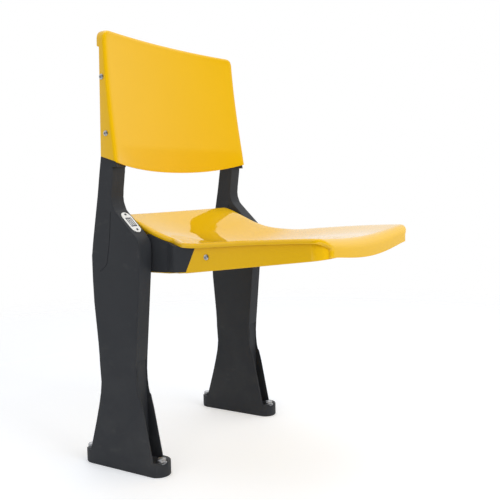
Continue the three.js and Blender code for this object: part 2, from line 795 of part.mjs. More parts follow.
// The part of the seat in front of the joint line between flange and arm
function aheadOfCut(gap) {
  const lean = (cutHighY - cutLowY) / (cutHighHeight - underKneeHeight);
  const low = underRearHeight - hubRadius;
  const at = (z) => cutLowY - gap + lean * (z - underKneeHeight);
  return extrudeSide(new THREE.Shape([
    point2(at(low), low), point2(at(rimRearHeight), rimRearHeight),
    point2(panFrontY * 2, rimRearHeight), point2(panFrontY * 2, low),
  ]), -legOuter, legOuter);
}

function underBlock(wall) {
  const low = underRearHeight - hubRadius;
  const high = backLowest;
  const wallsShare = 1.5;
  const towardsEnd = (y) => (y > armStepStartY ? y + panWall : y - panWall * wallsShare);
  const within = (y) => rimHalf(towardsEnd(y)) - flangeInset - wall;
  const narrow = (y) => Math.min(armOuterX(y) - armThickness - seatGap - wall, within(y));
  const narrowPlan = extrudePlan(planBand((y) => -narrow(y), narrow), low, high);
  const wide = (y) => (y < armStepEndY ? within(y) : flangeHalf - wall);
  const widePlan = extrudePlan(planBand((y) => -wide(y), wide), low, high);
  const plan = narrowPlan.add(widePlan.intersect(aheadOfCut(seatGap + wall)));
  return plan.intersect(extrudeSide(underOutline(wall), -legOuter, legOuter));
}

// The bowl of the seat, down to the gap under the top shell
function bowlSpace() {
  const rows = rimLine().slice(1, -1);
  const inset = panWall + seatGap;
  const lower = rows.map(({ point, up }) => {
    const half = rimHalf(point.x) - rimRadius;
    const bowl = bowlAt(point);
    return Array.from({ length: bowlSteps + 1 }, (_, step) => {
      const share = 2 * step / bowlSteps - 1;
      const drop = bowl * Math.max(1 - share * share, 0) ** bowlEaseShare;
      return new THREE.Vector3(half * share, point.x - up.x * inset, point.y - up.y * inset - drop);
    });
  });
  return bodyBetween(lower, lower.map((row) => row.map((point) => point.clone().setZ(backTop))));
}

// The long recess in the underside, grown by a wall for the metal round it
function recessSolid(wall) {
  const frontTop = underHeight(recessFrontY) + recessFrontDepth + wall;
  const rampY = recessRearY - recessRamp;
  const rearTop = underHeight(rampY) + recessRearDepth + wall;
  const low = underRearHeight - hubRadius;
  const shape = new THREE.Shape([
    point2(recessFrontY - wall, low), point2(recessRearY + wall, low),
    point2(recessRearY + wall, underHeight(recessRearY) + wall), point2(rampY + wall, rearTop),
    point2(recessFrontY - wall, frontTop),
  ]);
  return extrudeSide(shape, -recessHalfWidth - wall, recessHalfWidth + wall);
}

function seatUnderShell() {
  const shellHollow = underBlock(underWall);
  const recess = recessSolid(underWall).intersect(underBlock(0));
  let shell = underBlock(0).subtract(shellHollow).add(recess);
  shell = shell.subtract(recessSolid(0)).subtract(bowlSpace());
  const grid = panGrid(seatGap);
  shell = shell.subtract(bodyBetween(grid, offsetGrid(grid, panWall + seatGap)));
  [-1, 1].forEach((side) => {
    const place = (solid) => onSide(solid, side);
    shell = shell.subtract(place(armTongue(seatGap)));
    shell = shell.subtract(place(rodX(holeRadius, flangeHalf - armThickness, flangeHalf + overrun,
      seatScrewY, seatScrewHeight, smallRoundSides)));
    shell = shell.subtract(place(rodX(pinRadius + seatGap, hubInner - armThickness, hubInner + overrun,
      pivotY, pivotHeight)));
  });
  return shell;
}

// Pivot arms: a plate that steps out to the flange, a hub with an arc slot, and an inner tongue
function armTongue(gap) {
  const half = armTongueHeight / 2 + gap;
  const endY = cutHighY - armTongueLength + half;
  const startY = (cutLowY + cutHighY) / 2;
  const shape = new THREE.Shape();
  shape.moveTo(startY, seatScrewHeight - half);
  shape.lineTo(startY, seatScrewHeight + half);
  shape.lineTo(endY, seatScrewHeight + half);
  shape.absarc(endY, seatScrewHeight, half, Math.PI / 2, Math.PI * 3 / 2, false);
  return extrudeSide(shape, flangeHalf - armThickness - gap, flangeHalf - underWall - seatGap + gap / 2,
    0, arcSteps);
}

function armPlateOutline() {
  const gapsShare = 3;
  const drop = lipHeight + seatGap * gapsShare;
  const top = rimLine().filter(({ point }) => point.x < armNeckY - lipHeight && point.x > cutHighY)
    .map(({ point, up }) => point.clone().addScaledVector(up, -drop));
  const bottomY = cutLowY + overrun;
  return new THREE.Shape([
    point2(pivotY, pivotHeight - hubRadius),
    point2(armNeckY, underRearHeight + armBottomRise), point2(underLevelY, underRearHeight + armBottomRise),
    point2(underKneeY, underKneeHeight + armBottomRise),
    point2(bottomY - overrun * 2, underHeight(bottomY) + armBottomRise),
    point2(cutHighY - overrun, cutHighHeight), ...top.reverse(),
    point2(armNeckY, armNeckHeight), point2(pivotY, pivotHeight + hubRadius),
  ]);
}

function arcSlot(radius, halfWidth, start, end) {
  const shape = new THREE.Shape();
  shape.absarc(pivotY, pivotHeight, radius + halfWidth, start, end, false);
  shape.absarc(pivotY + radius * Math.cos(end), pivotHeight + radius * Math.sin(end),
    halfWidth, end, end + Math.PI, false);
  shape.absarc(pivotY, pivotHeight, radius - halfWidth, end, start, true);
  shape.absarc(pivotY + radius * Math.cos(start), pivotHeight + radius * Math.sin(start),
    halfWidth, start + Math.PI, start + Math.PI * 2, false);
  return extrudeSide(shape, hubInner - overrun, hubOuter + overrun, 0, arcSteps);
}

function pivotArm() {
  const inner = (y) => armOuterX(y) - armThickness;
  const plan = extrudePlan(planBand(inner, armOuterX), 0, backLowest);
  const plate = extrudeSide(armPlateOutline(), hubInner, flangeHalf).intersect(plan);
  let arm = plate.subtract(aheadOfCut(0)).add(armTongue(0));
  arm = arm.add(rodX(hubRadius, hubInner, hubOuter, pivotY, pivotHeight, roundSides * 2));
  arm = arm.subtract(rodX(pinRadius + seatGap, hubInner - overrun, hubOuter + overrun, pivotY, pivotHeight));
  const slotHalf = stopPegRadius + seatGap + stopSleeveWall + seatGap;
  arm = arm.subtract(arcSlot(stopRadius, slotHalf, stopAngle, stopAngle + tipAngle));
  return arm.subtract(rodX(holeRadius, flangeHalf - armThickness * 2, flangeHalf + overrun,
    seatScrewY, seatScrewHeight, smallRoundSides));
}

// Pivot pin, bush, retaining ring and spring driver
function pivotPin() {
  const headOuter = hubInner - seatGap - underWall - seatGap;
  const head = rodX(pinHeadRadius, headOuter - pinHeadHeight, headOuter, pivotY, pivotHeight);
  const end = driverInner() + ringThickness;
  return head.add(rodX(pinRadius, headOuter - pinHeadHeight, end, pivotY, pivotHeight));
}

function pivotBush() {
  const flange = rodX(bushFlangeRadius, hubOuter + seatGap, legInner - seatGap, pivotY, pivotHeight);
  const tube = rodX(pinRadius + seatGap + bushWall, hubOuter + seatGap, legHollowInner + bossLength,
    pivotY, pivotHeight);
  return flange.add(tube).subtract(
    rodX(pinRadius + seatGap, hubOuter - overrun, legHollowOuter, pivotY, pivotHeight));
}

function retainingRing() {
  const inner = legHollowInner + bossLength + seatGap;
  const ring = rodX(ringRadius, inner, inner + ringThickness, pivotY, pivotHeight);
  return ring.subtract(rodX(pinRadius + seatGap, inner - overrun, inner + ringThickness + overrun,
    pivotY, pivotHeight));
}

// Torsion spring: the wire leaves its first and last turn along the tangent
const springStartX = legHollowInner + seatGap + springWire / 2;

function springPoint(turn) {
  const angle = turn * Math.PI * 2;
  return new THREE.Vector3(springStartX + springPitch * turn,
    pivotY + springRadius * Math.cos(angle), pivotHeight + springRadius * Math.sin(angle));
}

function springTangent(turn) {
  const angle = turn * Math.PI * 2;
  return new THREE.Vector3(0, -Math.sin(angle), Math.cos(angle));
}

function springTip(turn, direction) {
  return springPoint(turn).addScaledVector(springTangent(turn), direction * springTang);
}

function springSolid() {
  const points = [springTip(0, -1)];
  for (let step = 0; step <= springTurns * springSteps; step += 1) {
    points.push(springPoint(step / springSteps));
  }
  points.push(springTip(springTurns, 1));
  const radius = springWire / 2;
  const rings = points.map((point, index) => {
    const before = points[Math.max(index - 1, 0)];
    const after = points[Math.min(index + 1, points.length - 1)];
    const along = after.clone().sub(before).normalize();
    const across = new THREE.Vector3(1, 0, 0).cross(along).normalize();
    const third = along.clone().cross(across);
    return Array.from({ length: springSides }, (_, side) => {
      const angle = side / springSides * Math.PI * 2;
      return point.clone().addScaledVector(across, radius * Math.cos(angle))
        .addScaledVector(third, radius * Math.sin(angle));
    });
  });
  const faces = [];
  const last = (rings.length - 1) * springSides;
  for (let ring = 0; ring < rings.length - 1; ring += 1) {
    for (let side = 0; side < springSides; side += 1) {
      const a = ring * springSides + side;
      const b = ring * springSides + (side + 1) % springSides;
      faces.push(a, b, b + springSides, a, b + springSides, a + springSides);
    }
  }
  for (let side = 1; side < springSides - 1; side += 1) {
    faces.push(0, side + 1, side, last, last + side, last + side + 1);
  }
  reportSpringGap(points);
  return solidFrom(rings.flat(), faces);
}

function reportSpringGap(points) {
  let least = Infinity;
  points.forEach((point, index) => {
    points.slice(index + springSteps - 1).forEach((other) => {
      least = Math.min(least, point.distanceTo(other) - springWire);
    });
  });
  console.log(`Least gap of the spring's wire to itself: ${least.toFixed(2)} mm`);
}

// The fixed tang bears on a post in the leg, the other one on the driver's peg
function tangPost(tip, direction, lowX, highX) {
  const centre = point2(pivotY, pivotHeight);
  const out = point2(tip.y, tip.z).sub(centre);
  const tangent = springTangent(direction < 0 ? 0 : springTurns);
  const radial = point2(out.x, out.y).addScaledVector(point2(tangent.y, tangent.z), -direction * springTang)
    .normalize();
  const reach = springWire / 2 + seatGap + springPegRadius;
  const place = point2(tip.y, tip.z).addScaledVector(radial, reach)
    .addScaledVector(point2(tangent.y, tangent.z), -direction * springPegRadius);
  return rodX(springPegRadius, lowX, highX, place.x, place.y, smallRoundSides);
}

function springPost() {
  return tangPost(springTip(0, -1), -1, legHollowInner - overrun, springStartX + springWire);
}

function driverInner() {
  return springStartX + springPitch * springTurns + springWire / 2 + seatGap;
}

function springDriver() {
  const inner = driverInner();
  const reach = springRadius + springWire / 2 + springPegRadius * 2;
  const disc = rodX(reach, inner, inner + ringThickness, pivotY, pivotHeight);
  const peg = tangPost(springTip(springTurns, 1), 1, inner - springWire, inner + ringThickness);
  return disc.add(peg).subtract(
    rodX(pinRadius + seatGap, inner - overrun, inner + ringThickness + overrun, pivotY, pivotHeight));
}

// Stop peg with its rubber sleeve, in the arm's arc slot
function stopPlace() {
  return point2(pivotY + stopRadius * Math.cos(stopAngle), pivotHeight + stopRadius * Math.sin(stopAngle));
}

function stopPeg() {
  const stop = stopPlace();
  return rodX(stopPegRadius, hubInner + seatGap, legHollowInner, stop.x, stop.y, smallRoundSides);
}

function stopSleeve() {
  const stop = stopPlace();
  const radius = stopPegRadius + seatGap;
  const sleeve = rodX(radius + stopSleeveWall, hubInner + seatGap, legInner - seatGap, stop.x, stop.y);
  const bore = rodX(radius, hubInner - overrun, legInner + overrun, stop.x, stop.y, smallRoundSides);
  return sleeve.subtract(bore);
}

// Plates with their fasteners
function idPlate() {
  const radius = idPlateWidth / 2;
  const reach = idPlateLength / 2 - radius;
  const shape = new THREE.Shape();
  shape.absarc(0, reach, radius, 0, Math.PI, false);
  shape.absarc(0, -reach, radius, Math.PI, Math.PI * 2, false);
  return extrudePlan(shape, 0, idPlateThickness);
}

function rivet() {
  return rodZ(rivetRadius, idPlateThickness + seatGap, idPlateThickness + seatGap + rivetHeight, 0, 0,
    smallRoundSides);
}

function numberPlate() {
  const x = numberPlateWidth / 2 - numberPlateCorner;
  const y = numberPlateLength / 2 - numberPlateCorner;
  const shape = new THREE.Shape();
  shape.absarc(x, y, numberPlateCorner, 0, Math.PI / 2, false);
  shape.absarc(-x, y, numberPlateCorner, Math.PI / 2, Math.PI, false);
  shape.absarc(-x, -y, numberPlateCorner, Math.PI, Math.PI * 3 / 2, false);
  shape.absarc(x, -y, numberPlateCorner, Math.PI * 3 / 2, Math.PI * 2, false);
  return extrudePlan(shape, -numberPlateThickness, 0, 0, cornerSteps);
}

function plateScrew() {
  const low = -numberPlateThickness - seatGap;
  return rodZ(rivetRadius, low - rivetHeight, low, 0, 0, smallRoundSides);
}

// Floor anchors
function anchorBolt() {
  const low = footHeight - lugCupDepth + seatGap + washerThickness + seatGap;
  const head = rodZ(anchorHeadWidth / Math.sqrt(3), low, low + anchorHeadHeight, 0, 0, hexSides);
  return head.add(rodZ(anchorRadius, seatGap, low + seatGap, 0, 0, smallRoundSides));
}

function washer() {
  const low = footHeight - lugCupDepth + seatGap;
  const disc = rodZ(washerRadius, low, low + washerThickness, 0, 0);
  return disc.subtract(rodZ(anchorRadius + seatGap, low - overrun, low + washerThickness + overrun, 0, 0,
    smallRoundSides));
}

// Assembly: fixed pieces and the seat that tips
const seat = new THREE.Group();
const fixed = new THREE.Group();
const tipping = new THREE.Group();
seat.add(fixed, tipping);

function place(group, name, solid, material) {
  const mesh = new THREE.Mesh(geometryOf(solid), material);
  mesh.name = name;
  group.add(mesh);
  return mesh;
}

place(fixed, 'backrest_shell', backrestShell(), yellowGloss);
place(tipping, 'seat_top_shell', seatTopShell(), yellowGloss);
place(tipping, 'seat_under_shell', seatUnderShell(), yellowGloss);

const spring = springSolid();
[['left', -1], ['right', 1]].forEach(([sideName, side]) => {
  const put = (group, name, solid, material) =>
    place(group, `${name}_${sideName}`, onSide(solid, side), material);
  place(fixed, `leg_${sideName}`, legSolid(side), blackMoulding);
  put(fixed, 'pivot_bush', pivotBush(), paleNylon);
  put(fixed, 'return_spring', spring, springSteel);
  put(fixed, 'stop_peg', stopPeg(), zincSteel);
  put(fixed, 'stop_sleeve', stopSleeve(), blackRubber);
  put(tipping, 'pivot_arm', pivotArm(), blackMoulding);
  put(tipping, 'pivot_pin', pivotPin(), zincSteel);
  put(tipping, 'retaining_ring', retainingRing(), zincSteel);
  put(tipping, 'spring_driver', springDriver(), zincSteel);
  const nutOuter = flangeHalf - armThickness - seatGap;
  const seatScrew = screwX(flangeHalf, nutOuter - nutThickness, seatScrewY, seatScrewHeight);
  put(tipping, 'seat_screw', seatScrew, zincSteel);
  put(tipping, 'seat_nut', nutX(nutOuter - nutThickness, nutOuter, seatScrewY, seatScrewHeight), zincSteel);
  screwPlaces().forEach(([y, z], index) => {
    const level = index === 0 ? 'upper' : 'lower';
    put(fixed, `back_screw_${level}`, screwX(backHalf(z), legInner + nutDepth - overrun, y, z), zincSteel);
    const nutInner = legInner + nutDepth;
    put(fixed, `back_nut_${level}`, nutX(nutInner, nutInner + nutThickness, y, z), zincSteel);
  });
  [['front', -1], ['rear', 1]].forEach(([endName, end]) => {
    const bolt = place(fixed, `anchor_bolt_${sideName}_${endName}`, anchorBolt(), zincSteel);
    const disc = place(fixed, `anchor_washer_${sideName}_${endName}`, washer(), zincSteel);
    [bolt, disc].forEach((mesh) => mesh.position.set(side * legMiddle, end * anchorReach, 0));
  });
});

// Identification plate on the slanted front of the left leg
const facetLean = Math.atan2(facetHighHeight - facetLowHeight, facetHighY - facetLowY);
const idHolder = new THREE.Group();
idHolder.position.set(-legMiddle, (facetLowY + facetHighY) / 2, (facetLowHeight + facetHighHeight) / 2);
idHolder.rotation.x = facetLean;
const idLift = new THREE.Group();
idLift.position.z = seatGap;
idHolder.add(idLift);
fixed.add(idHolder);
place(idLift, 'id_plate', idPlate(), whitePlate);
place(idLift, 'id_rivet_upper', rivet(), darkPlate).position.y = idRivetSpacing / 2;
place(idLift, 'id_rivet_lower', rivet(), darkPlate).position.y = -idRivetSpacing / 2;

// Number plate at the front of the recess in the underside
const rampY = recessRearY - recessRamp;
const ceilingFront = underHeight(recessFrontY) + recessFrontDepth;
const ceilingRear = underHeight(rampY) + recessRearDepth;
const ceilingLean = Math.atan2(ceilingRear - ceilingFront, rampY - recessFrontY);
const numberHolder = new THREE.Group();
numberHolder.rotation.x = ceilingLean;
numberHolder.position.set(0, recessFrontY + numberPlateInset,
  ceilingFront + Math.tan(ceilingLean) * numberPlateInset - seatGap);
tipping.add(numberHolder);
place(numberHolder, 'number_plate', numberPlate(), darkPlate);
place(numberHolder, 'plate_screw_left', plateScrew(), whitePlate).position.x = -plateScrewSpacing / 2;
place(numberHolder, 'plate_screw_right', plateScrew(), whitePlate).position.x = plateScrewSpacing / 2;

// The origin is on the floor, in the middle of the seat's outline
seat.updateMatrixWorld(true);
const box = new THREE.Box3().setFromObject(seat);
seat.position.set(-(box.min.x + box.max.x) / 2, -(box.min.y + box.max.y) / 2, -box.min.z);

export default seat;
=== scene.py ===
"""Stadium seat: the smooth mouldings, the small hardware, the finishes and the studio for the
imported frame."""
import json
import math

import bpy
from mathutils import Matrix, Vector


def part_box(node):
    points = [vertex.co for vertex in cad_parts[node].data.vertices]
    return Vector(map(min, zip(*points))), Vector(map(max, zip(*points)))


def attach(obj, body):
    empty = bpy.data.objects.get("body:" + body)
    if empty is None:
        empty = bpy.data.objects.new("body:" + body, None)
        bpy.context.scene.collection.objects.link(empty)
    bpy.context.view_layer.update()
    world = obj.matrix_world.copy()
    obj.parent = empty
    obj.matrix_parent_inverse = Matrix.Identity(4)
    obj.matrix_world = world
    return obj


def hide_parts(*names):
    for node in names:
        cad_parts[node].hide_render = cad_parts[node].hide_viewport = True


bl_info = {
    "name": "Stadium seat",
    "version": (1, 0, 0),
    "blender": (4, 5, 0),
    "location": "3D View > Sidebar > Stadium seat",
    "description": "Builds a tip-up stadium seat over its packed frame",
    "category": "Object",
}

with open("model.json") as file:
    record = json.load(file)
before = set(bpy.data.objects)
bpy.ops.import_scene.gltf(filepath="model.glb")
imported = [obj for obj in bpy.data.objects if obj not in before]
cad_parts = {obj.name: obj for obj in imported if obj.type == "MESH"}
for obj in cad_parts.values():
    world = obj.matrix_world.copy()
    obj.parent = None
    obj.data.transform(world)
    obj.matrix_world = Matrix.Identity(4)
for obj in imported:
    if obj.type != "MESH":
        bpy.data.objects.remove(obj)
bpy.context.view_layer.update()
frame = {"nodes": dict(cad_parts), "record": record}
MM = 0.001

# The middle of the backrest and the front of the seat give the place of the drawing's origin
BACK_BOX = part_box("backrest_shell")
PAN_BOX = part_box("seat_top_shell")
PAN_FRONT = -422.0
ORIGIN = Vector(((BACK_BOX[0].x + BACK_BOX[1].x) / 2, PAN_BOX[0].y - PAN_FRONT * MM, 0.0))


def at(x, y, z):
    """A point of the drawing, in millimetres, as a place in the scene."""
    return ORIGIN + Vector((x, y, z)) * MM


# ---------------- settings


def metres(name, description, default, least, most):
    return bpy.props.FloatProperty(name=name, description=description, default=default,
                                   min=least, max=most, unit="LENGTH")


def tint(name, description, *default):
    return bpy.props.FloatVectorProperty(name=name, description=description, subtype="COLOR",
                                         size=4, default=(*default, 1.0), min=0.0, max=1.0)


class SeatSizes(bpy.types.PropertyGroup):
    shell_wall: metres("Shell wall", "Wall thickness of the yellow mouldings",
                       0.0035, 0.002, 0.006)
    shell_edge: metres("Shell edge", "Rounding on the open edges of the yellow mouldings",
                       0.0009, 0.0002, 0.0015)
    leg_edge: metres("Leg edge", "Rounding on the edges of the black mouldings",
                     0.0008, 0.0002, 0.003)
    metal_edge: metres("Metal edge", "Chamfer on bolts, washers and screws", 0.0005, 0.0001, 0.001)
    grain_size: metres("Grain size", "Size of the fine grain on the black mouldings",
                       0.0011, 0.0003, 0.004)
    digit_height: metres("Digit height", "Height of the digits on the number plate",
                         0.030, 0.01, 0.035)


class SeatColours(bpy.types.PropertyGroup):
    yellow: tint("Yellow moulding", "Colour of the backrest and the seat", 0.875, 0.508, 0.004)
    black: tint("Black moulding", "Colour of the legs and the arms", 0.0325, 0.0350, 0.0400)
    dust: tint("Dust", "Colour of the dust and the scuffs on the mouldings", 0.30, 0.285, 0.26)
    zinc: tint("Zinc", "Colour of the bolts, screws and washers", 0.52, 0.53, 0.55)
    spring: tint("Spring steel", "Colour of the springs and the retaining rings",
                 0.22, 0.225, 0.235)
    nylon: tint("Nylon", "Colour of the bushes", 0.66, 0.63, 0.53)
    rubber: tint("Rubber", "Colour of the stop sleeves", 0.013, 0.013, 0.014)
    plate_white: tint("White plate", "Colour of the identification plate", 0.80, 0.80, 0.78)
    plate_dark: tint("Dark plate", "Colour of the number plate and its like", 0.025, 0.034, 0.052)
    floor: tint("Floor", "Colour of the studio floor", 0.835, 0.86, 0.90)


def sizes():
    return bpy.context.scene.seat_sizes


def colours():
    return bpy.context.scene.seat_colours


# ---------------- mesh helpers

# How far apart, in metres, points may lie that are joined: in any piece, in text, in a leg
MERGE, MERGE_TEXT, MERGE_LEG = 0.00001, 0.000002, 0.00003
FLAT_TURN = 0.6  # degrees between faces that count as one flat face

# A turn of a leg's side outline is rounded between these degrees, on edges of this length and
# more that run across the seat at least this straight
TURN_LEAST, TURN_MOST, TURN_LENGTH, TURN_ACROSS, TURN_SEGMENTS = 5, 36, 0.006, 0.97, 4
ROOM_FOR_EDGE = 1.4  # an edge is rounded where its neighbours are this many widths long
SPLINE_STEPS = 40


def clear_selection():
    if bpy.context.mode != "OBJECT":
        bpy.ops.object.mode_set(mode="OBJECT")
    bpy.ops.object.select_all(action="DESELECT")


def make_active(piece):
    clear_selection()
    piece.select_set(True)
    bpy.context.view_layer.objects.active = piece


def edit_all(piece):
    """Opens a piece in edit mode with all of it selected."""
    make_active(piece)
    bpy.ops.object.mode_set(mode="EDIT")
    bpy.ops.mesh.select_all(action="SELECT")


def edit_faces(piece, test):
    """Opens a piece in edit mode with the faces that pass the test selected."""
    edit_all(piece)
    bpy.ops.mesh.select_mode(type="FACE")
    bpy.ops.mesh.select_all(action="DESELECT")
    bpy.ops.object.mode_set(mode="OBJECT")
    for face in piece.data.polygons:
        face.select = test(face)
    bpy.ops.object.mode_set(mode="EDIT")


def close_edit():
    bpy.ops.object.mode_set(mode="OBJECT")


def join_points(piece, apart, after=None):
    """Joins the points of a piece that lie no further apart than this, and does what is next
    in edit mode."""
    edit_all(piece)
    bpy.ops.mesh.remove_doubles(threshold=apart)
    if after:
        after()
    close_edit()


def add_object(name, data):
    made = bpy.data.objects.new(name, data)
    bpy.context.scene.collection.objects.link(made)
    return made


def mesh_piece(name, points, faces):
    mesh = bpy.data.meshes.new(name)
    mesh.from_pydata([tuple(point) for point in points], [], faces)
    mesh.update()
    return add_object(name, mesh)


def grid_faces(rows, columns, first=0, closed=False):
    """Quads over rows of points that follow each other in one list."""
    faces = []
    span = columns if closed else columns - 1
    for row in range(rows - 1):
        for column in range(span):
            after = (column + 1) % columns
            a = first + row * columns
            faces.append((a + column, a + after, a + columns + after, a + columns + column))
    return faces


def add_modifier(piece, name, kind, **values):
    modifier = piece.modifiers.new(name, kind)
    for key, value in values.items():
        setattr(modifier, key, value)
    return modifier


def apply_modifiers(piece):
    make_active(piece)
    for modifier in list(piece.modifiers):
        bpy.ops.object.modifier_apply(modifier=modifier.name)


def smooth(piece, angle):
    make_active(piece)
    bpy.ops.object.shade_smooth_by_angle(angle=math.radians(angle))


def add_wall(piece, thickness):
    add_modifier(piece, "wall", "SOLIDIFY", thickness=thickness, offset=-1.0,
                 use_even_offset=True, use_rim=True)


def round_edges(piece, width, segments, angle, smooth_angle):
    """Rounds the edges that turn by more than the angle, applies all modifiers and shades."""
    add_modifier(piece, "edge", "BEVEL", width=width, segments=segments, limit_method="ANGLE",
                 angle_limit=math.radians(angle), use_clamp_overlap=True, harden_normals=False)
    apply_modifiers(piece)
    smooth(piece, smooth_angle)


def face_outwards(piece):
    join_points(piece, MERGE, lambda: bpy.ops.mesh.normals_make_consistent(inside=False))


def set_place(piece):
    """Moves a piece's place, turn and scale into its mesh."""
    make_active(piece)
    bpy.ops.object.transform_apply(location=True, rotation=True, scale=True)


def give(piece, body, slot, *nodes):
    """Gives a piece the finish of its slot, ties it to its body and lets it stand for nodes."""
    piece.data.materials.clear()
    piece.data.materials.append(finish(slot))
    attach(piece, body)
    if nodes:
        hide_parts(*nodes)


def copy_of_node(node, name):
    """A merged copy of a CAD node with its flat faces joined again."""
    piece = add_object(name, frame["nodes"][node].data.copy())
    piece.data.materials.clear()
    join_points(piece, MERGE, lambda: bpy.ops.mesh.dissolve_limited(
        angle_limit=math.radians(FLAT_TURN), use_dissolve_boundaries=False))
    return piece


def bevel_chosen(piece, chosen, segments, **values):
    """Bevels the edges that pass the test. It gets the edge as a vector, its turn in degrees
    and the length of the shortest edge at its two ends."""
    mesh = piece.data
    normals, room = {}, [math.inf] * len(mesh.vertices)
    for face in mesh.polygons:
        for key in face.edge_keys:
            normals.setdefault(key, []).append(face.normal)
    runs = []
    for a, b in mesh.edge_keys:
        runs.append(mesh.vertices[b].co - mesh.vertices[a].co)
        room[a], room[b] = min(room[a], runs[-1].length), min(room[b], runs[-1].length)
    weight = mesh.attributes.new("bevel_weight_edge", "FLOAT", "EDGE")
    for (a, b), run, row in zip(mesh.edge_keys, runs, weight.data):
        sides = normals.get((a, b), [])
        if len(sides) == 2:
            turn = math.degrees(sides[0].angle(sides[1], 0.0))
            row.value = float(chosen(run, turn, min(room[a], room[b])))
    add_modifier(piece, "edge", "BEVEL", limit_method="WEIGHT", segments=segments,
                 use_clamp_overlap=False, **values)
    apply_modifiers(piece)
    piece.data.attributes.remove(piece.data.attributes["bevel_weight_edge"])


def is_turn(run, turn, space):
    return (TURN_LEAST < turn < TURN_MOST and run.length > TURN_LENGTH
            and abs(run.x) > TURN_ACROSS * run.length)


def moulding_from(node, name, edge, angle=40.0, segments=2, smooth_angle=30.0, turns=0.0):
    """A copy of a CAD node with rounded edges. Turns is the share in percent of the edges beside
    each shallow turn of the side outline, whose own edge runs across the seat, that rounds it."""
    piece = copy_of_node(node, name)
    if turns:
        bevel_chosen(piece, is_turn, TURN_SEGMENTS, offset_type="PERCENT", width_pct=turns)
    bevel_chosen(piece, lambda run, turn, space: turn > angle and space > edge * ROOM_FOR_EDGE,
                 segments, offset_type="OFFSET", width=edge)
    if turns:
        join_points(piece, MERGE_LEG)
    smooth(piece, smooth_angle)
    add_modifier(piece, "shading", "WEIGHTED_NORMAL", mode="FACE_AREA", keep_sharp=True)
    apply_modifiers(piece)
    return piece


def spline(points, count):
    """Points at even steps along a smooth line through the given ones, with two coordinates."""
    dense = []
    last = len(points) - 1
    for index in range(last):
        p0, p1 = points[max(index - 1, 0)], points[index]
        p2, p3 = points[index + 1], points[min(index + 2, last)]
        for step in range(SPLINE_STEPS):
            t = step / SPLINE_STEPS
            dense.append(tuple(
                0.5 * ((2 * b) + (c - a) * t + (2 * a - 5 * b + 4 * c - d) * t * t
                       + (3 * b - a - 3 * c + d) * t ** 3)
                for a, b, c, d in zip(p0, p1, p2, p3)))
    dense.append(tuple(points[last]))
    lengths = [0.0]
    for a, b in zip(dense, dense[1:]):
        lengths.append(lengths[-1] + math.dist(a, b))
    result, place = [], 0
    for step in range(count + 1):
        target = lengths[-1] * step / count
        while place < len(lengths) - 2 and lengths[place + 1] < target:
            place += 1
        span = lengths[place + 1] - lengths[place] or 1.0
        share = (target - lengths[place]) / span
        result.append(tuple(a + (b - a) * share
                            for a, b in zip(dense[place], dense[place + 1])))
    return result


def ease(value, low, high):
    share = min(max((value - low) / (high - low), 0.0), 1.0)
    return share * share * (3 - 2 * share)


# ---------------- finishes

WHITE = (1.0, 1.0, 1.0, 1.0)
BUMP_SHARE = 0.25  # height of a bump over the size of its grain

# Scuffs: the turn and scale of their noise, and where in it they start and are full
SCUFF_TURN, SCUFF_SCALE, SCUFF_RANGE = (0.5, 0.3, 0.7), (420.0, 30.0, 60.0), (0.62, 0.72)

# Dust: where in the tone's noise a patch starts and is full, the height over which it thins out
# to a share, and how much it adds to the roughness
PATCH_RANGE, DUST_HEIGHT, DUST_ABOVE, DUST_DULLS = (0.42, 0.75), 0.30, 0.25, 0.35


def add_node(tree, kind, feeds, **settings):
    """A node with its settings, and with constants or other nodes' outputs on its inputs."""
    node = tree.nodes.new(kind)
    for key, value in settings.items():
        setattr(node, key, value)
    for key, feed in feeds.items():
        if isinstance(feed, bpy.types.NodeSocket):
            tree.links.new(feed, node.inputs[key])
        else:
            node.inputs[key].default_value = feed
    return node


def maths(tree, operation, *feeds, **settings):
    """The output of a Math node with these inputs in their order."""
    return add_node(tree, "ShaderNodeMath", dict(enumerate(feeds)),
                    operation=operation, **settings).outputs[0]


def ramp(tree, value, low, high, least=0.0, most=1.0, **settings):
    """The output of a Map Range node, from least at low to most at high."""
    return add_node(tree, "ShaderNodeMapRange",
                    {"Value": value, "From Min": low, "From Max": high, "To Min": least,
                     "To Max": most}, **settings).outputs["Result"]


def place_in(tree, name="Object"):
    return add_node(tree, "ShaderNodeTexCoord", {}).outputs[name]


def empty_tree(owner):
    """The node tree of a material or a world, with nothing in it."""
    owner.use_nodes = True
    owner.node_tree.nodes.clear()
    return owner.node_tree


def new_group(name, sockets, results):
    """A node group, with its sockets' names by kind, and the outputs of its input node."""
    group = bpy.data.node_groups.new(name, "ShaderNodeTree")
    for way, kinds in (("INPUT", sockets), ("OUTPUT", results)):
        for kind, title in [(kind, title) for kind in kinds for title in kinds[kind]]:
            group.interface.new_socket(name=title, in_out=way, socket_type=f"NodeSocket{kind}")
    return group, add_node(group, "NodeGroupInput", {}).outputs


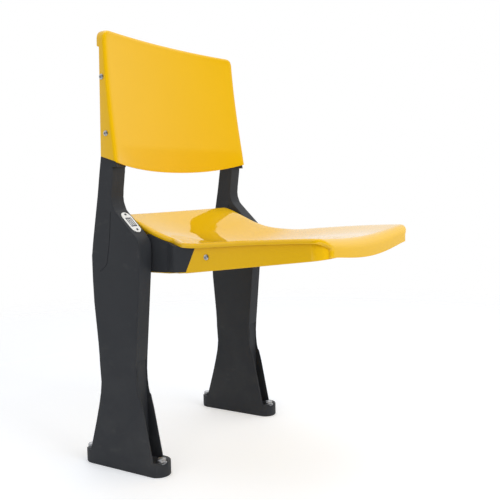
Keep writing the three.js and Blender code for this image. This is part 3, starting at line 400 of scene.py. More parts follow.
def grain_group():
    """Fine moulded grain: its height, at the size of one grain."""
    name = "Moulded grain"
    if name in bpy.data.node_groups:
        return bpy.data.node_groups[name]
    group, given = new_group(name, {"Float": ("Size",), "Vector": ("Stretch",)},
                             {"Float": ("Height",)})
    scale = maths(group, "DIVIDE", 1.0, given["Size"])
    where = add_node(group, "ShaderNodeVectorMath", {0: place_in(group), 1: given["Stretch"]},
                     operation="MULTIPLY").outputs[0]
    cells = add_node(group, "ShaderNodeTexVoronoi",
                     {"Vector": where, "Scale": scale, "Smoothness": 0.6}, feature="SMOOTH_F1")
    cloud = add_node(group, "ShaderNodeTexNoise",
                     {"Vector": where, "Scale": scale, "Detail": 3.0})
    blend = add_node(group, "ShaderNodeMix",
                     {"Factor": 0.45, 2: cells.outputs["Distance"], 3: cloud.outputs["Fac"]},
                     data_type="FLOAT")
    add_node(group, "NodeGroupOutput", {"Height": blend.outputs[0]})
    return group


def wear_group():
    """Dust that settles low down and in patches, and long fine scuffs: a colour and a
    roughness."""
    name = "Dust and scuffs"
    if name in bpy.data.node_groups:
        return bpy.data.node_groups[name]
    group, given = new_group(
        name, {"Color": ("Colour", "Dust colour"), "Float": (
            "Dust", "Scuffs", "Patch size", "Tone change", "Low roughness", "High roughness")},
        {"Color": ("Colour",), "Float": ("Roughness",)})
    place = place_in(group)
    tone = add_node(group, "ShaderNodeTexNoise",
                    {"Vector": place, "Scale": maths(group, "DIVIDE", 1.0, given["Patch size"]),
                     "Detail": 4.0, "Roughness": 0.6}).outputs["Fac"]
    centred = maths(group, "SUBTRACT", tone, 0.5)
    value = maths(group, "MULTIPLY_ADD", centred, given["Tone change"], 1.0)
    shade = add_node(group, "ShaderNodeHueSaturation", {"Color": given["Colour"], "Value": value})

    along = add_node(group, "ShaderNodeMapping", {
        "Vector": place, "Rotation": SCUFF_TURN, "Scale": SCUFF_SCALE})
    lines = add_node(group, "ShaderNodeTexNoise",
                     {"Vector": along.outputs[0], "Scale": 1.0, "Detail": 2.0})
    scuff = maths(group, "MULTIPLY", ramp(group, lines.outputs["Fac"], *SCUFF_RANGE),
                  given["Scuffs"])

    height = add_node(group, "ShaderNodeSeparateXYZ", {0: place}).outputs["Z"]
    settled = maths(group, "MULTIPLY", ramp(group, height, 0.0, DUST_HEIGHT, 1.0, DUST_ABOVE),
                    ramp(group, tone, *PATCH_RANGE))
    dust = maths(group, "MULTIPLY", settled, given["Dust"])
    both = maths(group, "ADD", dust, scuff, use_clamp=True)

    cover = add_node(group, "ShaderNodeMix", {
        "Factor": both, 6: shade.outputs["Color"], 7: given["Dust colour"]}, data_type="RGBA")
    rough = add_node(group, "ShaderNodeMix", {
        "Factor": tone, 2: given["Low roughness"], 3: given["High roughness"]}, data_type="FLOAT")
    dulled = maths(group, "MULTIPLY_ADD", both, DUST_DULLS, rough.outputs[0], use_clamp=True)
    add_node(group, "NodeGroupOutput", {"Colour": cover.outputs[2], "Roughness": dulled})
    return group


# Colours are names in the settings, which also give the size of grain where none is given
FINISHES = {
    "yellow_moulding": dict(colour="yellow", rough=(0.035, 0.065), grain=0.009, bump=0.01,
                            dust=0.02, scuffs=0.012, tone=0.05, patch=0.16, specular=0.45),
    "black_moulding": dict(colour="black", rough=(0.46, 0.62), grain=None, bump=0.55,
                           dust=0.06, scuffs=0.03, tone=0.18, patch=0.07, specular=0.22),
    "zinc_steel": dict(colour="zinc", rough=(0.30, 0.48), grain=0.0008, bump=0.25,
                       dust=0.10, scuffs=0.05, tone=0.18, patch=0.012, metallic=1.0),
    "spring_steel": dict(colour="spring", rough=(0.36, 0.52), grain=0.0006, bump=0.3, dust=0.08,
                         scuffs=0.02, tone=0.2, patch=0.015, metallic=1.0,
                         stretch=(4.0, 1.0, 1.0)),
    "pale_nylon": dict(colour="nylon", rough=(0.42, 0.56), grain=0.0009, bump=0.25,
                       dust=0.10, scuffs=0.02, tone=0.08, patch=0.02),
    "stop_rubber": dict(colour="rubber", rough=(0.70, 0.85), grain=0.0008, bump=0.5,
                        dust=0.22, scuffs=0.02, tone=0.2, patch=0.01, specular=0.35),
    "plate_white": dict(colour="plate_white", rough=(0.38, 0.52), grain=0.0012, bump=0.15,
                        dust=0.14, scuffs=0.06, tone=0.07, patch=0.02),
    "plate_dark": dict(colour="plate_dark", rough=(0.34, 0.50), grain=0.0010, bump=0.25,
                       dust=0.12, scuffs=0.05, tone=0.18, patch=0.025),
}


def finish(name):
    """The material of a finish. Its title isn't the name alone, which is a CAD material's."""
    title = f"{name}_finish"
    if title in bpy.data.materials:
        return bpy.data.materials[title]
    return finish_material(title, **FINISHES[name])


def finish_material(title, colour, rough, grain, bump, dust, scuffs, tone, patch,
                    metallic=0.0, specular=0.5, stretch=(1.0, 1.0, 1.0)):
    """Tone, dust, scuffs and roughness from one group, grain from the other."""
    grain = grain or sizes().grain_size
    made = bpy.data.materials.new(title)
    tree = empty_tree(made)
    wear = add_node(tree, "ShaderNodeGroup", {
        "Colour": getattr(colours(), colour), "Dust colour": colours().dust, "Dust": dust,
        "Scuffs": scuffs, "Patch size": patch, "Tone change": tone, "Low roughness": rough[0],
        "High roughness": rough[1]}, node_tree=wear_group())
    fine = add_node(tree, "ShaderNodeGroup", {"Size": grain, "Stretch": stretch},
                    node_tree=grain_group())
    raised = add_node(tree, "ShaderNodeBump", {
        "Strength": bump, "Distance": grain * BUMP_SHARE, "Height": fine.outputs["Height"]})
    shader = add_node(tree, "ShaderNodeBsdfPrincipled", {
        "Metallic": metallic, "Specular IOR Level": specular,
        "Base Color": wear.outputs["Colour"], "Roughness": wear.outputs["Roughness"],
        "Normal": raised.outputs["Normal"]})
    add_node(tree, "ShaderNodeOutputMaterial", {"Surface": shader.outputs["BSDF"]})
    return made


# ---------------- the backrest's surface

BACK_TOP, BACK_LOWEST, BACK_CREASE = 812.0, 554.0, 604.0
BACK_HALF_TOP, BACK_HALF_CREASE = 210.0, 216.8
BACK_TOP_Y, BACK_CREASE_Y = 1.0, -19.2
BACK_CORNER, BACK_TOP_ROUND, BACK_TOP_CORNER = 5.0, 6.0, 16.0
BACK_HOLLOW, BACK_TURN, BACK_SIDE_RISE, BACK_LEAN = 15.5, 8.0, 25.0, 0.3
BACK_LEAN_POWER, BACK_TURN_POWER, BACK_RISE_ROUND = 1.5, 8, 0.78
FLANGE_REAR_Y, LIP_REAR_Y, LIP_BOTTOM = 13.5, 18.5, 783.0

# Its mesh: faces across, in a corner and up, the gap below the lip, and the rows of the lip, in
# millimetres over its lower edge and then in degrees round its top
BACK_ACROSS, BACK_CORNER_STEPS, BACK_ROWS, LIP_GAP = 56, 6, 40, 2.0
LIP_ROWS = (0, 5, 10)
LIP_ANGLES = (0, 12, 24, 35, 45, 54, 62, 69, 75, 80)
EDGE_GUESS, EDGE_TRIES = 30.0, 6  # where the search for the lower edge starts, and its tries

# Both shells: the rounding of their edges and the angles, in degrees, from which an edge is
# rounded and stays sharp in the shading
SHELL_SEGMENTS, SHELL_ANGLE, SHELL_SMOOTH = 3, 50.0, 42.0


def back_half(z):
    slope = (BACK_HALF_CREASE - BACK_HALF_TOP) / (BACK_TOP - BACK_CREASE)
    rise = min(max((z - (BACK_TOP - BACK_TOP_CORNER)) / BACK_TOP_CORNER, 0.0), 1.0)
    narrowing = BACK_TOP_CORNER * (1 - math.sqrt(1 - rise * rise))
    return BACK_HALF_TOP + slope * (BACK_TOP - z) - narrowing


def back_rim_inset(z):
    rise = min(max((z - (BACK_TOP - BACK_TOP_ROUND)) / BACK_TOP_ROUND, 0.0), 1.0)
    return BACK_TOP_ROUND * (1 - math.sqrt(1 - rise * rise))


def back_hollow(share, z):
    below = max(BACK_CREASE - z, 0.0) / (BACK_CREASE - BACK_LOWEST)
    turn = BACK_TURN * below * (1 - share ** BACK_TURN_POWER)
    return BACK_HOLLOW * (1 - share * share) + turn


def back_front_y(share, z):
    run = (BACK_TOP - z) / (BACK_TOP - BACK_CREASE)
    lean = math.copysign(abs(run) ** BACK_LEAN_POWER, run)
    return (BACK_TOP_Y + (BACK_CREASE_Y - BACK_TOP_Y) * lean + back_hollow(share, z)
            + back_rim_inset(z))


def back_bottom_z(x, y):
    share = x / BACK_HALF_CREASE
    rise = BACK_RISE_ROUND * share ** 2 + (1 - BACK_RISE_ROUND) * share ** 4
    return BACK_LOWEST + BACK_SIDE_RISE * rise + BACK_LEAN * (y - BACK_CREASE_Y / 2)


def back_open_columns():
    """Places on the open front line, from the left rear edge round: their part of the line,
    their side, and the share of the corner's angle or of the way across."""
    across, corner = BACK_ACROSS, BACK_CORNER_STEPS
    columns = [("rear", -1, 0.0), ("flange", -1, 0.0)]
    columns += [("corner", -1, step / corner) for step in range(corner + 1)]
    columns += [("front", 0, 2 * (step + 1) / across - 1) for step in range(across - 1)]
    columns += [("corner", 1, 1 - step / corner) for step in range(corner + 1)]
    columns += [("flange", 1, 0.0), ("rear", 1, 0.0)]
    return columns


def back_point(column, z, rear_y):
    kind, side, share = column
    half = back_half(z)
    inner = half - BACK_CORNER
    corner_y = back_front_y(inner / half, z)
    if kind == "rear":
        return side * half, rear_y
    if kind == "flange":
        return side * half, (rear_y + corner_y + BACK_CORNER) / 2
    if kind == "corner":
        angle = share * math.pi / 2
        return (side * (inner + BACK_CORNER * math.cos(angle)),
                corner_y + BACK_CORNER - BACK_CORNER * math.sin(angle))
    return share * inner, back_front_y(share * inner / half, z)


def backrest_piece():
    across, corner, rows = BACK_ACROSS, BACK_CORNER_STEPS, BACK_ROWS
    columns = back_open_columns()
    count = len(columns)
    points = []
    for row in range(rows + 1):
        share = row / rows
        for column in columns:
            z = BACK_LOWEST + EDGE_GUESS
            for _ in range(EDGE_TRIES):
                x, y = back_point(column, z, FLANGE_REAR_Y)
                z = back_bottom_z(x, y)
            height = z + (LIP_BOTTOM - LIP_GAP - z) * share
            x, y = back_point(column, height, FLANGE_REAR_Y)
            points.append(at(x, y, height))
    faces = grid_faces(rows + 1, count)

    # The lip goes all round: its loops hold the front line and a rear line of the same columns
    top_low = BACK_TOP - BACK_TOP_CORNER
    heights = [LIP_BOTTOM + rise for rise in LIP_ROWS]
    heights += [top_low + BACK_TOP_CORNER * math.sin(math.radians(angle)) for angle in LIP_ANGLES]
    first_loop = len(points)
    rear_shares = [1 - 2 * (step + 1) / across for step in range(across - 1)]
    loop_size = count + len(rear_shares)
    for height in heights:
        rear_y = LIP_REAR_Y - back_rim_inset(height)
        for column in columns:
            points.append(at(*back_point(column, height, rear_y), height))
        for share in rear_shares:
            points.append(at(share * back_half(height), rear_y + back_hollow(share, height),
                             height))
    faces += grid_faces(len(heights), loop_size, first_loop, closed=True)
    last_row = rows * count
    for column in range(count - 1):
        faces.append((last_row + column, last_row + column + 1,
                      first_loop + column + 1, first_loop + column))

    # The crown: the front line joined to the rear line, over two rows of points
    crown = first_loop + (len(heights) - 1) * loop_size
    front = list(range(crown + corner + 3, crown + corner + across + 2))
    rear = list(range(crown + count, crown + loop_size))[::-1]
    middle_row = []
    for a, b in zip(front, rear):
        middle_point = (points[a] + points[b]) / 2
        middle_point.z = ORIGIN.z + BACK_TOP * MM
        middle_row.append(len(points))
        points.append(middle_point)
    for step in range(len(front) - 1):
        faces.append((front[step], front[step + 1], middle_row[step + 1], middle_row[step]))
        faces.append((middle_row[step], middle_row[step + 1], rear[step + 1], rear[step]))
    faces.append([rear[0], *range(crown, front[0]), front[0], middle_row[0]])
    faces.append([middle_row[-1], *range(front[-1], crown + count), rear[-1]])
    piece = mesh_piece("backrest", points, faces)
    add_wall(piece, sizes().shell_wall)
    round_edges(piece, sizes().shell_edge, SHELL_SEGMENTS, SHELL_ANGLE, SHELL_SMOOTH)
    return piece


# ---------------- the seat's upper surface

RIM_REAR_Y, RIM_REAR_Z, RIM_LOW_Y, RIM_LOW_Z, RIM_FRONT_Z = 6.0, 478.0, -157.0, 430.0, 443.0
FRONT_ROLL, REAR_ROLL, BAND_BOTTOM = 18.0, 4.5, 411.0
RIM_HALF_FRONT, RIM_HALF_REAR, WIDE_START_Y, WIDE_END_Y = 195.0, 174.0, -104.0, -154.0
RIM_ROUND, LIP_HEIGHT, BOWL_DEPTH, BAND_DIP = 5.0, 8.0, 20.0, 11.5
REAR_CORNER, FRONT_CORNER = 10.0, 24.0
BOWL_SHARES = [(0, 0), (0.12, 0.55), (0.28, 0.95), (0.42, 1), (0.6, 0.9), (0.8, 0.62), (1, 0.42)]
RIM_REAR_SHARES = [(0, 1), (0.13, 0.84), (0.35, 0.52), (0.45, 0.375), (0.59, 0.22), (0.73, 0.11),
                   (0.87, 0.03)]
RIM_FRONT_SHARES = [(0, 0), (0.09, 0.03), (0.28, 0.3), (0.555, 0.66), (0.87, 0.95), (1, 1)]
BOWL_SQUARE, ROUND_LEAST = 1.4, 0.4

# Its mesh: faces along the rim, round the rear and front rolls, across and in a side's rounding,
# and the rows of the band as shares of its height
RIM_COUNT, REAR_STEPS, FRONT_STEPS, PAN_ACROSS, PAN_CORNER_STEPS = 96, 6, 12, 56, 6
BAND_ROWS = (0.35, 0.7, 1.0)
BOWL_STEPS = 200


def on_roll(centre, radius, angle):
    """A point on a roll seen from the side, and the way out from its centre."""
    up = (math.cos(angle), math.sin(angle))
    return (centre[0] + up[0] * radius, centre[1] + up[1] * radius), up


def rim_rows():
    """Places on the seat's rim line from rear to front, each with the way up from the surface
    and how far it lies below the top of the rear edge."""
    count = RIM_COUNT
    start_y = PAN_FRONT + FRONT_ROLL
    knots = [(RIM_REAR_Y - REAR_ROLL + (RIM_LOW_Y - RIM_REAR_Y + REAR_ROLL) * run,
              RIM_LOW_Z + (RIM_REAR_Z - RIM_LOW_Z) * fall) for run, fall in RIM_REAR_SHARES]
    knots += [(RIM_LOW_Y + (start_y - RIM_LOW_Y) * run,
               RIM_LOW_Z + (RIM_FRONT_Z - RIM_LOW_Z) * rise) for run, rise in RIM_FRONT_SHARES]
    line = spline(knots, count)
    rows = []
    for index, point in enumerate(line):
        before, after = line[max(index - 1, 0)], line[min(index + 1, count)]
        run, rise = after[0] - before[0], after[1] - before[1]
        span = math.hypot(run, rise)
        up = (0.0, 1.0) if index == count else (rise / span, -run / span)
        rows.append((point, up, 0.0))
    first_point, first_up, _ = rows[0]
    angle_end = math.atan2(first_up[1], first_up[0])
    centre = [first_point[axis] - first_up[axis] * REAR_ROLL for axis in range(2)]
    rear = [((centre[0] + REAR_ROLL, centre[1] + REAR_ROLL - LIP_HEIGHT), (1.0, 0.0), LIP_HEIGHT)]
    for step in range(REAR_STEPS):
        point, up = on_roll(centre, REAR_ROLL, angle_end * step / REAR_STEPS)
        rear.append((point, up, (first_up[1] - up[1]) * REAR_ROLL))
    centre = (start_y, RIM_FRONT_Z - FRONT_ROLL)
    front = [(*on_roll(centre, FRONT_ROLL, math.pi / 2 * (1 + step / FRONT_STEPS)), 0.0)
             for step in range(1, FRONT_STEPS + 1)]
    for share in BAND_ROWS:
        height = centre[1] + (BAND_BOTTOM - centre[1]) * share
        front.append(((PAN_FRONT, height), (-1.0, 0.0), 0.0))
    return rear + rows + front


def rim_half(y):
    widening = ease(WIDE_START_Y - y, 0, WIDE_START_Y - WIDE_END_Y)
    half = RIM_HALF_REAR + (RIM_HALF_FRONT - RIM_HALF_REAR) * widening
    rear_reach = y - (RIM_REAR_Y - REAR_CORNER)
    radius = REAR_CORNER if rear_reach > 0 else FRONT_CORNER
    reach = min(max(max(rear_reach, PAN_FRONT + FRONT_CORNER - y) / radius, 0.0), 1.0)
    return half - radius * (1 - math.sqrt(1 - reach * reach))


BOWL_LINE = spline(BOWL_SHARES, BOWL_STEPS)


def bowl_at(point):
    run = (RIM_REAR_Y - point[0]) / (RIM_REAR_Y - PAN_FRONT - FRONT_ROLL)
    if run >= 1:
        share = min(max((RIM_FRONT_Z - point[1]) / (RIM_FRONT_Z - BAND_BOTTOM), 0.0), 1.0)
        low = BOWL_DEPTH * BOWL_SHARES[-1][1]
        return low + (BAND_DIP - low) * share
    index = next((i for i, place in enumerate(BOWL_LINE) if place[0] >= run), len(BOWL_LINE) - 1)
    index = max(index, 1)
    before, after = BOWL_LINE[index - 1], BOWL_LINE[index]
    step = (run - before[0]) / ((after[0] - before[0]) or 1.0)
    return BOWL_DEPTH * max(before[1] + (after[1] - before[1]) * step, 0.0)


def pan_rows():
    across, corner = PAN_ACROSS, PAN_CORNER_STEPS
    rows = []
    line = rim_rows()
    level_up = next(up for point, up, fall in line if fall == 0)
    for point, up, fall in line:
        half = rim_half(point[0])
        turn = max(RIM_ROUND * (1 - fall / LIP_HEIGHT), ROUND_LEAST)
        lip = max(LIP_HEIGHT - fall, turn)
        flat = half - turn
        bowl = bowl_at(point)
        side_up = level_up if fall > 0 else up
        row = []

        def add(x, rise, drop):
            row.append(at(x, point[0] + side_up[0] * rise, point[1] + side_up[1] * rise - drop))

        def edge(side, step):
            angle = step / corner * math.pi / 2
            add(side * (flat + turn * math.cos(angle)), turn * (math.sin(angle) - 1), 0)

        add(-half, -lip, 0)
        for step in range(corner + 1):
            edge(-1, step)
        for step in range(1, across):
            share = 2 * step / across - 1
            add(flat * share, 0, bowl * max(1 - share * share, 0.0) ** BOWL_SQUARE)
        for step in range(corner, -1, -1):
            edge(1, step)
        add(half, -lip, 0)
        rows.append(row)
    return rows


def seat_top_piece():
    rows = pan_rows()
    columns = len(rows[0])
    points = [point for row in rows for point in row]
    piece = mesh_piece("seat_top", points, [face[::-1] for face in grid_faces(len(rows), columns)])
    add_wall(piece, sizes().shell_wall)
    round_edges(piece, sizes().shell_edge, SHELL_SEGMENTS, SHELL_ANGLE, SHELL_SMOOTH)
    return piece


# ---------------- hardware, modelled by hand

# A hexagon head, as shares of its width (insets) or of its height
BOLT_CHAMFER, BOLT_DISH_RIM, BOLT_DISH_STEP, BOLT_RISE, BOLT_DISH = 0.07, 0.05, 0.03, 0.10, 0.05
BOLT_SINK = 0.3  # how far the shank reaches into the head

# A button head, as shares of its height: its straight wall, its dome and the shank inside it
BUTTON_WALL, BUTTON_DOME, BUTTON_SINK = 0.35, 0.65, 0.2
BUTTON_STEPS, BUTTON_ANGLE, BUTTON_REACH = 6, math.radians(62), 0.9

SHANK_SIDES, BUTTON_SIDES, WASHER_SIDES = 24, 36, 48
CAP_NORMAL = 0.9  # a cap's normal points at least this much up or down
HEXAGON = 1 / math.sqrt(3)  # radius of a hexagon's corners over its width across the flats


def add_cylinder(vertices, radius, depth, middle):
    bpy.ops.mesh.primitive_cylinder_add(vertices=vertices, radius=radius, depth=depth,
                                        location=(0, 0, middle))
    return bpy.context.object


def new_cylinder(name, vertices, radius, depth):
    """A cylinder that stands on z = 0."""
    clear_selection()
    piece = add_cylinder(vertices, radius, depth, depth / 2)
    piece.name = name
    set_place(piece)
    return piece


def is_top(face):
    return face.normal.z > CAP_NORMAL


def is_cap(face):
    return abs(face.normal.z) > CAP_NORMAL


def inset(thickness, depth=0.0):
    bpy.ops.mesh.inset(thickness=thickness, depth=depth)


def add_shank(radius, length, sink):
    """A shank from inside a head, in the edit mode of the head's piece."""
    bpy.ops.mesh.select_all(action="DESELECT")
    add_cylinder(SHANK_SIDES, radius, length, sink - length / 2)
    close_edit()


def hex_head_bolt(name, width, head, radius, length):
    """A hexagon head over its shank: the head's underside is at z = 0."""
    bolt = new_cylinder(name, 6, width * HEXAGON, head)
    edit_faces(bolt, is_top)
    inset(width * BOLT_CHAMFER)
    bpy.ops.transform.translate(value=(0, 0, head * BOLT_RISE))
    inset(width * BOLT_DISH_RIM)
    inset(width * BOLT_DISH_STEP, -head * BOLT_DISH)
    add_shank(radius, length, head * BOLT_SINK)
    for point in bolt.data.vertices:
        if point.co.z > 0:
            point.co.z /= 1 + BOLT_RISE
    return bolt


def washer(name, outer, inner, thickness):
    ring = new_cylinder(name, WASHER_SIDES, outer, thickness)
    edit_faces(ring, is_cap)
    inset(outer - inner)
    bpy.ops.mesh.bridge_edge_loops()
    close_edit()
    face_outwards(ring)
    return ring


def button_screw(name, head_radius, head, socket_width, socket_depth, radius, length):
    """A domed head with a hexagon socket: the head's underside is at z = 0."""
    screw = new_cylinder(name, BUTTON_SIDES, head_radius, head * BUTTON_WALL)
    edit_faces(screw, is_top)
    angles = [BUTTON_ANGLE * step / BUTTON_STEPS for step in range(BUTTON_STEPS + 1)]
    for before, angle in zip(angles, angles[1:]):
        lift = head * BUTTON_DOME * (math.sin(angle) - math.sin(before))
        inset(head_radius * (math.cos(before) - math.cos(angle)) * BUTTON_REACH)
        bpy.ops.transform.translate(value=(0, 0, lift / math.sin(BUTTON_ANGLE)))
    add_shank(radius, length, head * BUTTON_SINK)
    clear_selection()
    cutter = add_cylinder(6, socket_width * HEXAGON, socket_depth * 2, head)
    add_modifier(screw, "socket", "BOOLEAN", operation="DIFFERENCE", object=cutter,
                 solver="EXACT")
    apply_modifiers(screw)
    bpy.data.objects.remove(cutter)
    return screw


def put(pattern, name, place, along=None):
    """A copy of a piece that was made along +Z at the origin, turned and put in its place."""
    piece = add_object(name, pattern.data.copy())
    if along:
        piece.rotation_mode = "QUATERNION"
        piece.rotation_quaternion = Vector(along).to_track_quat("Z", "Y")
    piece.location = place
    set_place(piece)
    return piece


TIPPING = set(frame["record"]["behaviour"]["bodies"]["tip_seat"])
SIDES = ("left", "right")

SAME_WAY = 0.999  # faces whose normals agree this much face the same way
SAME_LEVEL = 0.0002
DIGITS, DIGIT_RAISE, DIGIT_BEVEL, DIGIT_LIFT = "18", 0.00025, 0.0001, 0.00012
PANEL_LONG, PANEL_WIDE, PANEL_THICK, PANEL_LIFT = 0.022, 0.0150, 0.00012, 0.00003
PANEL_COLUMNS, PANEL_ROWS, SLOT_HALF = 9, 7, 0.0085


def plane_of_node(node, way):
    """Middle and normal of a plate's outer face, the one that points mostly the given way."""
    faces = frame["nodes"][node].data.polygons
    widest = max(faces, key=lambda face: face.area * max(face.normal.dot(Vector(way)), 0.0))
    normal = widest.normal.copy()
    outer = [face for face in faces if face.normal.dot(normal) > SAME_WAY]
    height = max(face.center.dot(normal) for face in outer)
    outer = [face for face in outer if face.center.dot(normal) > height - SAME_LEVEL]
    area = sum(face.area for face in outer)
    middle = sum((face.center * face.area for face in outer), Vector()) / area
    return middle, normal


def lay_on(piece, middle, right, normal, lift):
    """Lays a flat piece drawn on XY onto a plate: its +X to the right, its +Z along the normal."""
    matrix = Matrix((right, normal.cross(right), normal)).transposed().to_4x4()
    matrix.translation = middle + normal * lift
    piece.matrix_world = matrix
    set_place(piece)


def seat_digits():
    """Two raised digits on the number plate, upright when the seat is tipped up."""
    middle, normal = plane_of_node("number_plate", (0, 0, -1))
    clear_selection()
    bpy.ops.object.text_add(location=(0, 0, 0))
    words = bpy.context.object
    words.name = "seat_digits"
    words.data.body = DIGITS
    words.data.align_x, words.data.align_y = "CENTER", "CENTER"
    words.data.size = sizes().digit_height
    words.data.extrude = DIGIT_RAISE
    words.data.bevel_depth = DIGIT_BEVEL
    words.data.resolution_u = 4
    bpy.ops.object.convert(target="MESH")
    words = bpy.context.object
    join_points(words, MERGE_TEXT)
    for axis in range(2):
        places = [point.co[axis] for point in words.data.vertices]
        centre = (min(places) + max(places)) / 2
        for point in words.data.vertices:
            point.co[axis] -= centre
    lay_on(words, middle, Vector((1, 0, 0)), normal, DIGIT_LIFT)
    smooth(words, 30.0)
    return words


def is_slot(face):
    """Whether a face of the panel's grid lies in one of its blank rows."""
    row = round((face.center.y / PANEL_WIDE + 0.5) * PANEL_ROWS - 0.5)
    return row % 2 == 1 and abs(face.center.x) < SLOT_HALF


def printed_panel():
    """The dark panel on the identification plate: a plain frame, with blank rows cut through."""
    middle, normal = plane_of_node("id_plate", (0, -1, 1))
    clear_selection()
    bpy.ops.mesh.primitive_grid_add(x_subdivisions=PANEL_COLUMNS, y_subdivisions=PANEL_ROWS,
                                    size=1.0, location=(0, 0, 0))
    panel = bpy.context.object
    panel.name = "plate_panel"
    panel.scale = (PANEL_LONG, PANEL_WIDE, 1.0)
    set_place(panel)
    edit_faces(panel, is_slot)
    bpy.ops.mesh.delete(type="FACE")
    close_edit()
    edit_all(panel)
    bpy.ops.mesh.extrude_region_move(TRANSFORM_OT_translate={"value": (0, 0, PANEL_THICK)})
    close_edit()
    face_outwards(panel)
    lay_on(panel, middle, Vector((0, normal.z, -normal.y)), normal, PANEL_LIFT)
    return panel


# ---------------- operators

PIVOT_FINISHES = {
    "pivot_pin": "zinc_steel", "pivot_bush": "pale_nylon", "retaining_ring": "spring_steel",
    "return_spring": "spring_steel", "spring_driver": "black_moulding",
    "stop_peg": "zinc_steel", "stop_sleeve": "stop_rubber",
}
PLATE_EDGE, PLATE_HEAD_EDGE = 0.0003, 0.0004
SMALL_SHARE = 0.6  # of the edge of the like larger pieces, for arms, nuts and what is inside
ANCHOR_HEAD, ANCHOR_RADIUS, WASHER_BORE, WASHER_EDGE_SHARE = 0.0065, 0.0045, 0.0048, 0.8
SCREW_HEAD, SCREW_HEAD_RADIUS, SCREW_RADIUS, SCREW_EDGE = 0.0024, 0.005, 0.0025, 0.0002
SOCKET_WIDTH, SOCKET_DEPTH = 0.004, 0.0014


def dress(piece, node, slot):
    """Gives a finished piece the finish of its slot, in place of one CAD node."""
    body = "tip_seat" if node in TIPPING else "frame"
    give(piece, body, slot, node)


def mould(node, name, slot, edge, **values):
    """A finished copy of a CAD node with rounded edges, in the node's place."""
    dress(moulding_from(node, name, edge, **values), node, slot)


def mould_pair(kind, name, slot, edge, **values):
    """The left and the right piece of one kind."""
    for side in SIDES:
        mould(f"{kind}_{side}", f"{side}_{name}", slot, edge, **values)


class SEAT_OT_backrest(bpy.types.Operator):
    """Build the backrest shell with its side flanges, rounded lip and bowed lower edge"""
    bl_idname = "seat.backrest"
    bl_label = "Backrest"

    def execute(self, context):
        dress(backrest_piece(), "backrest_shell", "yellow_moulding")
        return {"FINISHED"}


class SEAT_OT_seat_top(bpy.types.Operator):
    """Build the dished top shell of the seat with its rolled rim and front band"""
    bl_idname = "seat.seat_top"
    bl_label = "Seat top"

    def execute(self, context):
        dress(seat_top_piece(), "seat_top_shell", "yellow_moulding")
        return {"FINISHED"}


class SEAT_OT_seat_under(bpy.types.Operator):
    """Build the under shell of the seat with its side flanges and long recess"""
    bl_idname = "seat.seat_under"
    bl_label = "Seat under shell"

    def execute(self, context):
        mould("seat_under_shell", "seat_under", "yellow_moulding", sizes().shell_edge,
              angle=30.0, segments=3, smooth_angle=32.0)
        return {"FINISHED"}


class SEAT_OT_legs(bpy.types.Operator):
    """Build the two moulded legs with softened edges"""
    bl_idname = "seat.legs"
    bl_label = "Legs"

    def execute(self, context):
        mould_pair("leg", "leg", "black_moulding", sizes().leg_edge, smooth_angle=32.0,
                   turns=38.0)
        return {"FINISHED"}


class SEAT_OT_arms(bpy.types.Operator):
    """Build the two pivot arms with softened edges"""
    bl_idname = "seat.arms"
    bl_label = "Pivot arms"

    def execute(self, context):
        mould_pair("pivot_arm", "arm", "black_moulding", sizes().leg_edge * SMALL_SHARE,
                   smooth_angle=32.0)
        return {"FINISHED"}


class SEAT_OT_pivots(bpy.types.Operator):
    """Build the pins, bushes, rings, springs, drivers and stops inside the legs"""
    bl_idname = "seat.pivots"
    bl_label = "Pivots and stops"

    def execute(self, context):
        for kind, slot in PIVOT_FINISHES.items():
            mould_pair(kind, kind, slot, sizes().metal_edge * SMALL_SHARE, angle=50.0,
                       smooth_angle=50.0)
        return {"FINISHED"}


class SEAT_OT_anchors(bpy.types.Operator):
    """Build the four floor bolts with their washers"""
    bl_idname = "seat.anchors"
    bl_label = "Floor bolts"

    def execute(self, context):
        low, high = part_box("anchor_bolt_left_front")
        bolt = hex_head_bolt("floor_bolt", high.x - low.x, ANCHOR_HEAD, ANCHOR_RADIUS,
                             high.z - low.z - ANCHOR_HEAD)
        round_edges(bolt, sizes().metal_edge, segments=2, angle=35.0, smooth_angle=30.0)
        low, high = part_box("anchor_washer_left_front")
        ring = washer("floor_washer", (high.x - low.x) / 2, WASHER_BORE, high.z - low.z)
        round_edges(ring, sizes().metal_edge * WASHER_EDGE_SHARE, segments=2, angle=40.0,
                    smooth_angle=30.0)
        for place in ("left_front", "left_rear", "right_front", "right_rear"):
            for pattern, kind in ((bolt, "bolt"), (ring, "washer")):
                low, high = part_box(f"anchor_{kind}_{place}")
                foot = (low + high) / 2
                foot.z = high.z - ANCHOR_HEAD if kind == "bolt" else low.z
                piece = put(pattern, f"floor_{kind}_{place}", foot)
                dress(piece, f"anchor_{kind}_{place}", "zinc_steel")
        bpy.data.objects.remove(bolt)
        bpy.data.objects.remove(ring)
        return {"FINISHED"}


